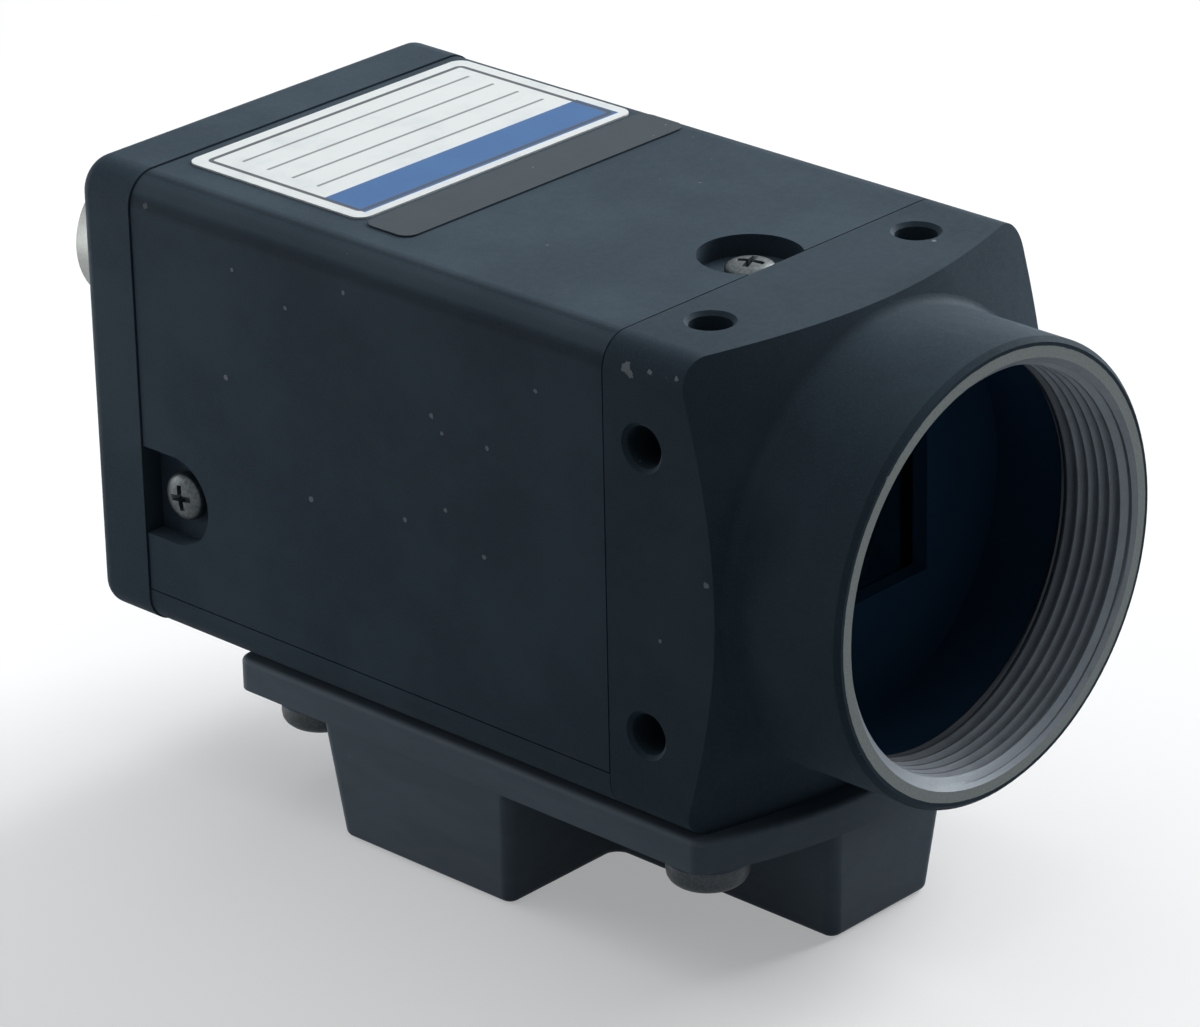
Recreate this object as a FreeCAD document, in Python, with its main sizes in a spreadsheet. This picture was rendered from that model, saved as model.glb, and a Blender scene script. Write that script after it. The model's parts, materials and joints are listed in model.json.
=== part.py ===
import FreeCAD, Part
import Sketcher
import math
import os
from FreeCAD import Placement, Rotation, Vector

# A fixed C-mount machine vision camera on a moulded mounting adapter.
#
# The frame is the lens's own. The lens axis is the Y axis, the face that a
# lens seats on is y = 0, the body runs back along +Y and +Z is up, so the
# origin is the middle of the lens mount.

doc = FreeCAD.newDocument("machine_vision_camera")
sheet = doc.addObject("Spreadsheet::Sheet", "Sizes")

SIZES = [
    # the body's outside
    ("body_width", 30.0, "width of the square body"),
    ("body_height", 30.0, "height of the square body"),
    ("corner_round", 2.0, "radius of the body's long edges"),
    ("crease_round", 0.5, "radius inside the cover's long edges"),
    ("body_long", 60.4, "lens seat to the rear face"),
    ("front_long", 16.7, "lens seat to the seam behind the front housing"),
    ("cap_thick", 4.5, "thickness of the chassis's rear wall"),
    ("cap_proud", 0.1, "how far the rear wall stands out round the cover"),
    ("cap_round", 1.0, "radius round the rear face"),
    ("seam_gap", 0.09, "open seam between the cover and its neighbours"),
    ("rail_high", 2.5, "height of the chassis's bottom rail"),
    ("rail_thick", 2.0, "floor of the chassis's bottom rail"),
    ("cover_wall", 1.0, "wall of the cover"),
    ("slide_clear", 0.1, "clearance between the cover and what it slides over"),
    ("spare", 1.0, "how far a cutting tool runs past what it cuts"),
    ("bite", 0.2, "how far a joined form reaches into the one it joins"),
    # the turned front of the housing
    ("collar_dia", 28.3, "outside of the lens collar"),
    ("collar_chamfer", 0.3, "chamfer round the collar's outer rim"),
    ("collar_fillet", 0.8, "fillet where the collar meets the cone"),
    ("mouth_dia", 25.9, "lead-in of the lens thread at the seat"),
    ("thread_dia", 24.56, "wall of the 1 inch by 32 lens thread"),
    ("thread_end", 5.2, "lens seat to the end of the thread"),
    ("relief_dia", 25.5, "relief behind the thread"),
    ("bore_deep", 10.5, "lens seat to the floor of the bore"),
    ("shoulder", 8.4, "lens seat to where the cone meets the body's flats"),
    ("cone_angle", 23.6, "how far the cone leans back, in degrees"),
    # threaded holes in the flats
    ("tap_pitch", 18.1, "between the two threaded holes in one flat"),
    ("tap_back", 13.8, "lens seat to the threaded holes"),
    ("tap_dia", 2.6, "wall of an M3 threaded hole"),
    ("tap_deep", 3.4, "depth of a threaded hole"),
    ("tap_lead", 0.25, "chamfer round a threaded hole"),
    # inside the housing
    ("window_wide", 12.4, "window in the floor of the bore"),
    ("window_high", 9.8, "window in the floor of the bore"),
    ("filter_wide", 16.0, "filter glass"),
    ("filter_high", 13.4, "filter glass"),
    ("filter_thick", 1.0, "filter glass"),
    ("filter_back", 11.6, "lens seat to the filter glass"),
    ("filter_gap", 0.7, "filter glass to the wide part of the sensor cavity"),
    ("cavity_step", 1.2, "step from the board pocket in to the sensor cavity"),
    ("post_face", 7.2, "lens axis to the faces of the board posts"),
    ("spigot_long", 6.0, "length of the spigot inside the cover"),
    ("spigot_wall", 2.7, "wall of the spigot round the sensor board"),
    # image sensor
    ("sensor_back", 17.526, "lens seat to the image plane"),
    ("sensor_wide", 14.0, "sensor package"),
    ("sensor_high", 13.0, "sensor package"),
    ("sensor_thick", 2.4, "sensor package"),
    ("sensor_floor", 1.274, "floor of the sensor package behind its chip"),
    ("die_wide", 7.2, "light-sensitive chip"),
    ("die_high", 5.4, "light-sensitive chip"),
    ("die_thick", 0.4, "light-sensitive chip"),
    ("cell_rim", 1.4, "rim of the sensor package round its well"),
    ("sensor_glass_thick", 0.5, "cover glass of the sensor"),
    ("glass_inset", 0.5, "edge of the package to its cover glass"),
    ("gasket_wall", 1.2, "wall of the dust gasket"),
    ("gasket_inset", 0.2, "edge of the package to the dust gasket"),
    # boards
    ("board_clear", 0.2, "board pocket to the edge of a circuit board"),
    ("board_trim", 0.8, "chamfer on a board's corners"),
    ("board_thick", 1.2, "thickness of a circuit board"),
    ("board_tail", 6.1, "last board to the rear seam"),
    ("post_inset", 2.0, "edge of a board to its fixings"),
    ("stud_dia", 1.9, "M2 stud of a standoff"),
    ("stud_hole", 2.0, "M2 hole in a standoff or post"),
    ("stud_long", 3.0, "thread engagement of a standoff's stud"),
    ("hole_spare", 0.4, "how far an M2 hole runs past its stud"),
    ("standoff_flats", 3.2, "across the flats of a standoff"),
    ("board_hole", 2.2, "clearance hole in a board"),
    # screws
    ("small_head_dia", 3.1, "pan head of an M2 screw"),
    ("small_head_high", 0.95, "pan head of an M2 screw"),
    ("small_shank", 1.9, "shank of an M2 screw"),
    ("small_tap", 2.0, "M2 threaded hole"),
    ("small_free", 2.3, "clearance hole for an M2 screw"),
    ("top_screw_back", 2.1, "front seam to the top screw"),
    ("side_screw_front", 2.75, "rear seam to a side screw"),
    ("side_screw_drop", 5.65, "lens axis down to a side screw"),
    ("notch_deep", 1.35, "depth of the cover's screw notches"),
    ("seat_thick", 0.8, "cover's thickness under a screw head"),
    ("top_notch", 3.2, "radius of the notch round the top screw"),
    ("side_notch", 2.95, "radius of the notch round a side screw"),
    ("flat_screw_back", 3.2, "front seam to the chassis screws"),
    ("flat_screw_pitch", 15.0, "between the two chassis screws"),
    ("flat_head_dia", 4.0, "countersunk head of a chassis screw"),
    ("lug_thick", 1.4, "chassis lug behind a side screw"),
    ("lug_long", 7.4, "length of a chassis lug"),
    ("lug_high", 11.5, "height of a chassis lug"),
    # adapter
    ("adapter_inset", 0.3, "side of the body in to the side of the adapter"),
    ("adapter_high", 10.0, "height of the adapter"),
    ("plate_thick", 2.1, "flange plate of the adapter"),
    ("plate_front", 6.9, "lens seat to the middle of the plate's front edge"),
    ("plate_bow", 34.6, "radius of the plate's bowed front edge"),
    ("plate_rear", 48.7, "lens seat to the plate's rear edge"),
    ("arm_front", 25.4, "lens seat to the front of the cross arm"),
    ("arm_rear", 41.4, "lens seat to the rear of the cross arm"),
    ("spine_wide", 9.8, "width of the lengthwise arm"),
    ("spine_step", 1.0, "plate's front edge to the lengthwise arm"),
    ("draft", 0.8, "how far the moulded sides lean in"),
    ("block_round", 0.8, "radius of the block's upright edges"),
    ("sole_round", 0.5, "radius round the block's foot"),
    ("plate_round", 1.0, "radius of the plate's corners"),
    ("plate_brow", 0.35, "radius round the plate's upper edge"),
    ("adapter_screw_inset", 3.2, "side of the adapter in to its screws"),
    ("adapter_screw_front", 12.3, "lens seat to the front adapter screws"),
    ("adapter_screw_rear", 44.5, "lens seat to the rear adapter screws"),
    ("pan_head_dia", 5.0, "pan head of an M3 screw"),
    ("pan_head_high", 1.9, "pan head of an M3 screw"),
    ("pan_shank", 2.5, "shank of an M3 screw"),
    ("pan_free", 3.3, "clearance hole for an M3 screw"),
    ("pan_into", 2.2, "how far an M3 screw reaches into the body"),
    ("screw_boss", 0.5, "raised seat under each M3 screw head"),
    ("screw_boss_dia", 5.4, "raised seat under each M3 screw head"),
    ("tripod_dia", 5.2, "wall of the 1/4 inch by 20 tripod thread"),
    ("tripod_deep", 6.0, "depth of the tripod thread"),
    ("tripod_floor", 0.8, "closed end of the metal insert"),
    ("tripod_insert_dia", 8.0, "metal insert round the tripod thread"),
    ("tripod_back", 33.1, "lens seat to the tripod thread"),
    # rear connector
    ("plug_inset", 9.0, "side of the body in to the connector"),
    ("plug_drop", 8.5, "top of the body down to the connector"),
    ("plug_dia", 9.2, "shell of the connector"),
    ("plug_out", 5.6, "how far the shell stands out of the rear face"),
    ("plug_wall", 0.8, "wall of the shell"),
    ("plug_recess", 4.4, "rim of the shell down to its insert"),
    ("plug_flange", 11.0, "flange of the shell"),
    ("plug_flange_thick", 0.7, "flange of the shell"),
    ("plug_neck", 8.6, "threaded neck of the shell behind the rear wall"),
    ("plug_nut", 11.0, "across the flats of the connector's nut"),
    ("plug_nut_thick", 1.8, "the connector's nut"),
    ("neck_past", 0.4, "how far the neck stands out of its nut"),
    ("contact_dia", 0.6, "a contact"),
    ("contact_ring", 1.9, "radius of the outer ring of contacts"),
    ("contact_core", 0.8, "radius of the inner ring of contacts"),
    ("contact_below", 1.2, "rim of the shell down to the contacts' ends"),
    ("contact_tail", 0.9, "how far a contact's tail passes its board"),
    # labels
    ("label_mid", 1.0, "lens axis to the middle of the labels, sideways"),
    ("label_wide", 24.0, "width of the white label"),
    ("label_long", 15.1, "length of the white label"),
    ("label_inset", 0.9, "rear seam to the white label"),
    ("label_thick", 0.12, "thickness of the labels"),
    ("label_round", 0.9, "radius of the labels' corners"),
    ("strip_wide", 24.6, "width of the dark strip"),
    ("strip_long", 3.8, "length of the dark strip"),
    ("strip_gap", 0.4, "between the white label and the dark strip"),
    # parts on the boards
    ("header_inset", 2.5, "board fixings to the ends of a header"),
    ("header_high", 3.4, "board to board header"),
    ("header_rise", 1.0, "board fixings up to the headers"),
    ("chip_side", 11.0, "image processor"),
    ("chip_thick", 1.4, "image processor"),
    ("chip_rise", 1.0, "lens axis up to the middle of the image processor"),
    ("memory_wide", 5.0, "memory chip"),
    ("memory_high", 4.0, "memory chip"),
    ("memory_thick", 1.0, "memory chip"),
    ("memory_pitch", 7.0, "between the two memory chips"),
    ("coil_side", 4.6, "inductor"),
    ("coil_thick", 2.8, "inductor"),
    ("coil_pitch", 6.8, "between the two inductors"),
    ("coil_rise", 3.0, "lens axis up to the inductors"),
    ("can_dia", 3.6, "capacitor"),
    ("can_long", 3.9, "capacitor"),
    ("can_pitch", 4.6, "from one capacitor to the next"),
    ("can_rise", 1.5, "lens axis up to the capacitors"),
]

for row, (alias, value, note) in enumerate(SIZES, 1):
    sheet.set(f"A{row}", note)
    sheet.set(f"B{row}", str(value))
    sheet.setAlias(f"B{row}", alias)
doc.recompute()


class Dim:
    """A length that carries its sheet formula and its present value together."""

    def __init__(self, text, value):
        self.text, self.value = text, value

    def _join(self, other, sign, value):
        return Dim(f"({self.text} {sign} {other.text})", value)

    def __add__(self, other):
        other = dim(other)
        return self._join(other, "+", self.value + other.value)

    def __sub__(self, other):
        other = dim(other)
        return self._join(other, "-", self.value - other.value)

    def __mul__(self, other):
        other = dim(other)
        return self._join(other, "*", self.value * other.value)

    def __truediv__(self, other):
        other = dim(other)
        return self._join(other, "/", self.value / other.value)

    def __radd__(self, other):
        return dim(other) + self

    def __rsub__(self, other):
        return dim(other) - self

    def __rmul__(self, other):
        return dim(other) * self

    def __neg__(self):
        return Dim(f"(0 - {self.text})", -self.value)


def dim(number):
    return number if isinstance(number, Dim) else Dim(f"({number})", float(number))


def tan(angle):
    return Dim(f"tan({angle.text} * 1 deg)", math.tan(math.radians(angle.value)))


S = {alias: Dim(f"Sizes.{alias}", float(value)) for alias, value, note in SIZES}

# shares of a pan head's own height and width
RIM_SHARE = 0.45
CROWN_SHARE = 0.62
HEX_CORNER = 1 / math.sqrt(3)

# lengths that several pieces share
spare, bite = S["spare"], S["bite"]
half_w = S["body_width"] / 2
half_h = S["body_height"] / 2
rear_seam = S["body_long"] - S["cap_thick"]
cover_front = S["front_long"] + S["seam_gap"]
cover_rear = rear_seam - S["seam_gap"]
rail_top = S["rail_high"] - half_h
cover_foot = rail_top + S["seam_gap"]
inside_w = half_w - S["cover_wall"]
inside_top = half_h - S["cover_wall"]
spigot_w = inside_w - S["slide_clear"]
spigot_top = inside_top - S["slide_clear"]
rail_floor = S["rail_thick"] - half_h
spigot_rear = S["front_long"] + S["spigot_long"]
pocket_w = spigot_w - S["spigot_wall"]
pocket_h = spigot_top - S["spigot_wall"]
well_floor = S["sensor_back"] + S["die_thick"]
board_face = well_floor + S["sensor_floor"]
filter_rear = S["filter_back"] + S["filter_thick"]
cavity_front = filter_rear + S["filter_gap"]
package_front = board_face - S["sensor_thick"]
glass_front = package_front - S["sensor_glass_thick"]
board_w, board_h = pocket_w - S["board_clear"], pocket_h - S["board_clear"]
post_x, post_z = board_w - S["post_inset"], board_h - S["post_inset"]
POSTS = [(-post_x, -post_z), (post_x, -post_z), (post_x, post_z), (-post_x, post_z)]
edge_w = half_w - S["adapter_inset"]
adapter_screw_x = edge_w - S["adapter_screw_inset"]
adapter_foot = -half_h - S["adapter_high"]
plate_foot = -half_h - S["plate_thick"]
seat_foot = plate_foot - S["screw_boss"]
top_screw_y = S["front_long"] + S["top_screw_back"]
side_screw_y = rear_seam - S["side_screw_front"]
flat_screw_y = S["front_long"] + S["flat_screw_back"]
plug_x, plug_z = S["plug_inset"] - half_w, half_h - S["plug_drop"]
plug_end = S["body_long"] + S["plug_out"]
notch_top = half_h - S["notch_deep"]
notch_side = half_w - S["notch_deep"]
land_top = notch_top - S["seat_thick"]
land_side = notch_side - S["seat_thick"]
screw_z = -S["side_screw_drop"]
top_seat = S["top_notch"] + S["seat_thick"]
side_seat = S["side_notch"] + S["seat_thick"]
board_pitch = (rear_seam - S["board_tail"] - board_face) / 3
BOARDS = [board_face + board_pitch * step for step in range(4)]

pieces = {}


def place(piece, label):
    """Give a finished piece the name that it is written under."""
    piece.Label = label
    pieces[label] = piece
    return piece


def bind(thing, **sizes):
    for name, length in sizes.items():
        length = dim(length)
        setattr(thing, name, length.value)
        thing.setExpression(name, length.text)


def at(thing, x, y, z):
    for axis, length in zip("xyz", (x, y, z)):
        thing.setExpression(f"Placement.Base.{axis}", dim(length).text)
    return thing


def turn(thing, axis, angle):
    thing.Placement = Placement(Vector(), Rotation(axis, angle))
    return thing


ALONG = {"X": (Vector(0, 1, 0), 90), "Y": (Vector(1, 0, 0), -90), "Z": (Vector(0, 0, 1), 0)}


def block(name, x, y, z):
    """A box between pairs of values on each axis."""
    box = doc.addObject("Part::Box", name)
    bind(box, Length=dim(x[1]) - x[0], Width=dim(y[1]) - y[0], Height=dim(z[1]) - z[0])
    return at(box, x[0], y[0], z[0])


def rod(name, diameter, start, length, axis):
    """A cylinder from its start point along +X, +Y or +Z."""
    bar = turn(doc.addObject("Part::Cylinder", name), *ALONG[axis])
    bind(bar, Radius=dim(diameter) / 2, Height=length)
    return at(bar, *start)


def cone(name, first, last, start, length, axis):
    bar = turn(doc.addObject("Part::Cone", name), *ALONG[axis])
    bind(bar, Radius1=dim(first) / 2, Radius2=dim(last) / 2, Height=length)
    return at(bar, *start)


def fuse(name, shapes):
    joined = doc.addObject("Part::MultiFuse", name)
    joined.Shapes = shapes
    joined.Refine = True
    return joined


def cut(name, base, tools):
    tool = tools[0] if len(tools) == 1 else fuse(name + "_tools", tools)
    result = doc.addObject("Part::Cut", name)
    result.Base, result.Tool = base, tool
    return result


def group(name, shapes):
    held = doc.addObject("Part::Compound", name)
    held.Links = shapes
    return held


def body(name):
    return doc.addObject("PartDesign::Body", name)


def sketch(owner, name, role, offset=0):
    """A sketch on one of the body's own planes, moved along its normal."""
    drawing = owner.newObject("Sketcher::SketchObject", name)
    plane = next(f for f in owner.Origin.OriginFeatures if f.Role == role)
    drawing.AttachmentSupport = (plane, [""])
    drawing.MapMode = "FlatFace"
    drawing.setExpression("AttachmentOffset.Base.z", dim(offset).text)
    return drawing


def fix(drawing, kind, target, length):
    """Pin a point of the sketch to the origin by one coordinate."""
    length = dim(length)
    index = drawing.addConstraint(Sketcher.Constraint(kind, -1, 1, *target, length.value))
    drawing.setExpression(f"Constraints[{index}]", length.text)


def outline(drawing, points):
    """A closed outline of straight lines through the given points."""
    points = [(dim(u), dim(v)) for u, v in points]
    first = drawing.GeometryCount
    ends = [Vector(u.value, v.value, 0) for u, v in points]
    for near, far in zip(ends, ends[1:] + ends[:1]):
        drawing.addGeometry(Part.LineSegment(near, far))
    count = len(points)
    for step in range(count):
        line, after = first + step, first + (step + 1) % count
        drawing.addConstraint(Sketcher.Constraint("Coincident", line, 2, after, 1))
    for step, (u, v) in enumerate(points):
        fix(drawing, "DistanceX", (first + step, 1), u)
        fix(drawing, "DistanceY", (first + step, 1), v)


def oblong(drawing, u, v):
    outline(drawing, [(u[0], v[0]), (u[1], v[0]), (u[1], v[1]), (u[0], v[1])])


def rounded(drawing, half_u, half_v, radius):
    """A rectangle round the origin with round corners."""
    half_u, half_v, radius = dim(half_u), dim(half_v), dim(radius)
    first = drawing.GeometryCount
    corners = [(half_u - radius, half_v - radius), (radius - half_u, half_v - radius),
               (radius - half_u, radius - half_v), (half_u - radius, radius - half_v)]
    turns = [(math.radians(90 * step), math.radians(90 * step + 90)) for step in range(4)]
    arcs = [Part.ArcOfCircle(Part.Circle(Vector(u.value, v.value, 0), Vector(0, 0, 1), radius.value), *turn_by)
            for (u, v), turn_by in zip(corners, turns)]
    for arc, after in zip(arcs, arcs[1:] + arcs[:1]):
        drawing.addGeometry(arc)
        drawing.addGeometry(Part.LineSegment(arc.EndPoint, after.StartPoint))
    for step, (u, v) in enumerate(corners):
        arc, line, after = first + 2 * step, first + 2 * step + 1, first + (2 * step + 2) % 8
        drawing.addConstraint(Sketcher.Constraint("Tangent", arc, 2, line, 1))
        drawing.addConstraint(Sketcher.Constraint("Tangent", line, 2, after, 1))
        fix(drawing, "DistanceX", (arc, 3), u)
        fix(drawing, "DistanceY", (arc, 3), v)
        size = drawing.addConstraint(Sketcher.Constraint("Radius", arc, radius.value))
        drawing.setExpression(f"Constraints[{size}]", radius.text)


def ring(drawing, u, v, diameter):
    u, v, radius = dim(u), dim(v), dim(diameter) / 2
    index = drawing.addGeometry(Part.Circle(Vector(u.value, v.value, 0), Vector(0, 0, 1), radius.value))
    fix(drawing, "DistanceX", (index, 3), u)
    fix(drawing, "DistanceY", (index, 3), v)
    size = drawing.addConstraint(Sketcher.Constraint("Radius", index, radius.value))
    drawing.setExpression(f"Constraints[{size}]", radius.text)


def pad(owner, drawing, length, reverse=False):
    feature = owner.newObject("PartDesign::Pad", drawing.Name + "_pad")
    feature.Profile = drawing
    feature.Reversed = reverse
    bind(feature, Length=length)
    owner.Tip = feature
    doc.recompute()
    return feature


def pocket(owner, drawing, length, reverse=False):
    """A pocket that has to take material away."""
    before = owner.Shape.Volume
    feature = owner.newObject("PartDesign::Pocket", drawing.Name + "_cut")
    feature.Profile = drawing
    feature.Reversed = reverse
    bind(feature, Length=length)
    owner.Tip = feature
    doc.recompute()
    if feature.Shape.Volume >= before - 1e-6:
        raise RuntimeError(drawing.Name + " cuts nothing")
    return feature


def spin(owner, drawing):
    """Turn a profile drawn on the YZ plane round the lens axis."""
    feature = owner.newObject("PartDesign::Revolution", drawing.Name + "_turn")
    feature.Profile = drawing
    feature.ReferenceAxis = (drawing, ["H_Axis"])
    feature.Angle = 360
    owner.Tip = feature
    doc.recompute()
    return feature


def edges_where(shape, test):
    return [f"Edge{n}" for n, edge in enumerate(shape.Edges, 1) if test(edge)]


def dress(owner, kind, names, size):
    """A fillet or chamfer on the named edges of the body's last feature."""
    if not names:
        raise RuntimeError("no edge for " + kind)
    last = owner.Tip
    feature = owner.newObject("PartDesign::" + kind, owner.Name + "_" + kind)
    feature.Base = (last, names)
    bind(feature, **{"Radius" if kind == "Fillet" else "Size": size})
    owner.Tip = feature
    doc.recompute()
    return feature


def runs_along(edge, axis):
    """True for a straight edge parallel to one axis."""
    if edge.Curve.TypeId != "Part::GeomLine":
        return False
    way = edge.Curve.Direction
    return abs(abs(getattr(way, axis)) - 1) < 1e-6


def near(first, second, slack=0.02):
    return abs(first - second) < slack


# --- front housing: one turned and milled casting -------------------------
housing = body("front_housing_body")
collar_r = S["collar_dia"] / 2
lip_r = collar_r - S["collar_chamfer"]
lean = tan(S["cone_angle"])
reach = half_w + half_h
profile = sketch(housing, "turned_profile", "YZ_Plane")
mouth_r, thread_r, relief_r = S["mouth_dia"] / 2, S["thread_dia"] / 2, S["relief_dia"] / 2
outline(profile, [
    (S["bore_deep"], 0), (S["bore_deep"], relief_r), (S["thread_end"] + relief_r - thread_r, relief_r),
    (S["thread_end"], thread_r), (mouth_r - thread_r, thread_r), (0, mouth_r), (0, lip_r),
    (S["collar_chamfer"], collar_r), (S["shoulder"] - lean * (half_w - collar_r), collar_r),
    (S["shoulder"] + lean * (reach - half_w), reach),
    (S["front_long"] + lean * reach, reach), (S["front_long"] + lean * reach, 0)])
spin(housing, profile)
foot_of_collar = edges_where(housing.Shape, lambda e: e.Curve.TypeId == "Part::GeomCircle"
                             and near(e.Curve.Radius, collar_r.value) and e.Curve.Center.y > 1)
dress(housing, "Fillet", foot_of_collar, S["collar_fillet"])

flats = sketch(housing, "body_flats", "XZ_Plane")
ring(flats, 0, 0, reach * 3)
rounded(flats, half_w, half_h, S["corner_round"])
pocket(housing, flats, reach * 3, reverse=False).Midplane = True
trim = sketch(housing, "behind_seam", "XZ_Plane", -S["front_long"])
ring(trim, 0, 0, reach * 3)
pocket(housing, trim, reach * 3, reverse=False)
doc.recompute()
if not near(housing.Shape.BoundBox.YMax, S["front_long"].value):
    raise RuntimeError("the housing isn't cut off at its seam")

spigot = sketch(housing, "spigot", "XZ_Plane", -S["front_long"])
oblong(spigot, (-spigot_w, spigot_w), (rail_floor, spigot_top))
pad(housing, spigot, S["spigot_long"], reverse=True)
shoulders = edges_where(housing.Shape, lambda e: runs_along(e, "y") and near(e.CenterOfMass.z, spigot_top.value)
                        and near(abs(e.CenterOfMass.x), spigot_w.value))
dress(housing, "Fillet", shoulders, S["crease_round"] + S["slide_clear"])
land = sketch(housing, "cover_seat_land", "XY_Plane", spigot_top)
oblong(land, (-top_seat - S["slide_clear"], top_seat + S["slide_clear"]), (S["front_long"], spigot_rear + spare))
pocket(housing, land, spigot_top - land_top)


def from_front(name, draw, start, end):
    """Cut a shape drawn across the lens axis between two distances back."""
    drawing = sketch(housing, name, "XZ_Plane", -dim(end))
    draw(drawing)
    return pocket(housing, drawing, dim(end) - start, reverse=True)


half_window = (S["window_wide"] / 2, S["window_high"] / 2)
half_filter = (S["filter_wide"] / 2 + S["slide_clear"], S["filter_high"] / 2 + S["slide_clear"])
from_front("window", lambda d: oblong(d, (-half_window[0], half_window[0]),
                                      (-half_window[1], half_window[1])),
           S["bore_deep"] - bite, S["filter_back"] + bite)
from_front("filter_seat", lambda d: oblong(d, (-half_filter[0], half_filter[0]),
                                           (-half_filter[1], half_filter[1])),
           S["filter_back"], cavity_front + bite)
wide, high, face = pocket_w - S["cavity_step"], pocket_h - S["cavity_step"], S["post_face"]
from_front("sensor_cavity", lambda d: outline(d, [
    (-wide, -face), (-face, -face), (-face, -high), (face, -high), (face, -face),
    (wide, -face), (wide, face), (face, face), (face, high), (-face, high),
    (-face, face), (-wide, face)]), cavity_front, board_face + bite)
from_front("board_pocket", lambda d: oblong(d, (-pocket_w, pocket_w), (-pocket_h, pocket_h)),
           board_face, spigot_rear + spare)


def post_rings(drawing, diameter):
    for x, z in POSTS:
        ring(drawing, x, z, diameter)


from_front("post_taps", lambda d: post_rings(d, S["stud_hole"]),
           board_face - S["stud_long"] - S["hole_spare"], board_face + bite)

tap = S["tap_pitch"] / 2
for name, role, flat, back in (("top_taps", "XY_Plane", half_h, True),
                               ("side_taps", "YZ_Plane", half_w, False)):
    for side in ((1,) if back else (1, -1)):
        mouth = sketch(housing, f"{name}_{'a' if side > 0 else 'b'}", role, flat * side)
        for place_on in (-tap, tap):
            u, v = (place_on, S["tap_back"]) if back else (S["tap_back"], place_on)
            ring(mouth, u, v, S["tap_dia"])
        pocket(housing, mouth, S["tap_deep"], reverse=side < 0)
rims = edges_where(housing.Shape, lambda e: e.Curve.TypeId == "Part::GeomCircle"
                   and near(e.Curve.Radius, S["tap_dia"].value / 2)
                   and max(abs(e.Curve.Center.x) - half_w.value,
                           abs(e.Curve.Center.z) - half_h.value) > -0.01
                   and near(e.Curve.Center.y, S["tap_back"].value))
dress(housing, "Chamfer", rims, S["tap_lead"])
under = sketch(housing, "adapter_taps", "XY_Plane", -half_h)
for side in (-1, 1):
    ring(under, adapter_screw_x * side, S["adapter_screw_front"], S["tap_dia"])
pocket(housing, under, S["tap_deep"], reverse=True)
over = sketch(housing, "top_screw_tap", "XY_Plane", land_top)
ring(over, 0, top_screw_y, S["small_tap"])
pocket(housing, over, land_top - pocket_h)
below = sketch(housing, "chassis_taps", "XY_Plane", rail_floor)
for side in (-1, 1):
    ring(below, S["flat_screw_pitch"] / 2 * side, flat_screw_y, S["small_tap"])
pocket(housing, below, -rail_floor - pocket_h, reverse=True)
place(housing, "front_housing")

# --- cover: an inverted U with three screw notches ------------------------
cover = body("cover_body")
section = sketch(cover, "cover_section", "XZ_Plane", -cover_front)
outline(section, [(-half_w, cover_foot), (-half_w, half_h), (half_w, half_h), (half_w, cover_foot),
                  (inside_w, cover_foot), (inside_w, inside_top), (-inside_w, inside_top),
                  (-inside_w, cover_foot)])
pad(cover, section, cover_rear - cover_front, reverse=True)
ridges = edges_where(cover.Shape, lambda e: runs_along(e, "y") and near(e.CenterOfMass.z, half_h.value))
dress(cover, "Fillet", ridges, S["corner_round"])
creases = edges_where(cover.Shape, lambda e: runs_along(e, "y")
                      and near(e.CenterOfMass.z, inside_top.value)
                      and near(abs(e.CenterOfMass.x), inside_w.value))
dress(cover, "Fillet", creases, S["crease_round"])

top_pad = sketch(cover, "top_seat", "XY_Plane", land_top)
oblong(top_pad, (-top_seat, top_seat), (cover_front, top_screw_y + top_seat))
pad(cover, top_pad, inside_top - land_top + S["cover_wall"] / 2)
top_notch = sketch(cover, "top_notch", "XY_Plane", half_h)
ring(top_notch, 0, top_screw_y, S["top_notch"] * 2)
pocket(cover, top_notch, S["notch_deep"])
top_free = sketch(cover, "top_screw_hole", "XY_Plane", half_h)
ring(top_free, 0, top_screw_y, S["small_free"])
pocket(cover, top_free, half_h - land_top + bite)
for side in (1, -1):
    letter = "a" if side > 0 else "b"
    side_pad = sketch(cover, "side_seat_" + letter, "YZ_Plane", land_side * side)
    oblong(side_pad, (side_screw_y - side_seat, cover_rear),
           (screw_z - side_seat, screw_z + side_seat))
    pad(cover, side_pad, inside_w - land_side + S["cover_wall"] / 2, reverse=side < 0)
    notch = sketch(cover, "side_notch_" + letter, "YZ_Plane", half_w * side)
    ring(notch, side_screw_y, screw_z, S["side_notch"] * 2)
    pocket(cover, notch, S["notch_deep"], reverse=side < 0)
    run = sketch(cover, "side_run_" + letter, "YZ_Plane", half_w * side)
    oblong(run, (side_screw_y, rear_seam + spare),
           (screw_z - S["side_notch"], screw_z + S["side_notch"]))
    pocket(cover, run, S["notch_deep"], reverse=side < 0)
    free = sketch(cover, "side_screw_hole_" + letter, "YZ_Plane", half_w * side)
    ring(free, side_screw_y, screw_z, S["small_free"])
    pocket(cover, free, half_w - land_side + bite, reverse=side < 0)
place(cover, "cover")

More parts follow.
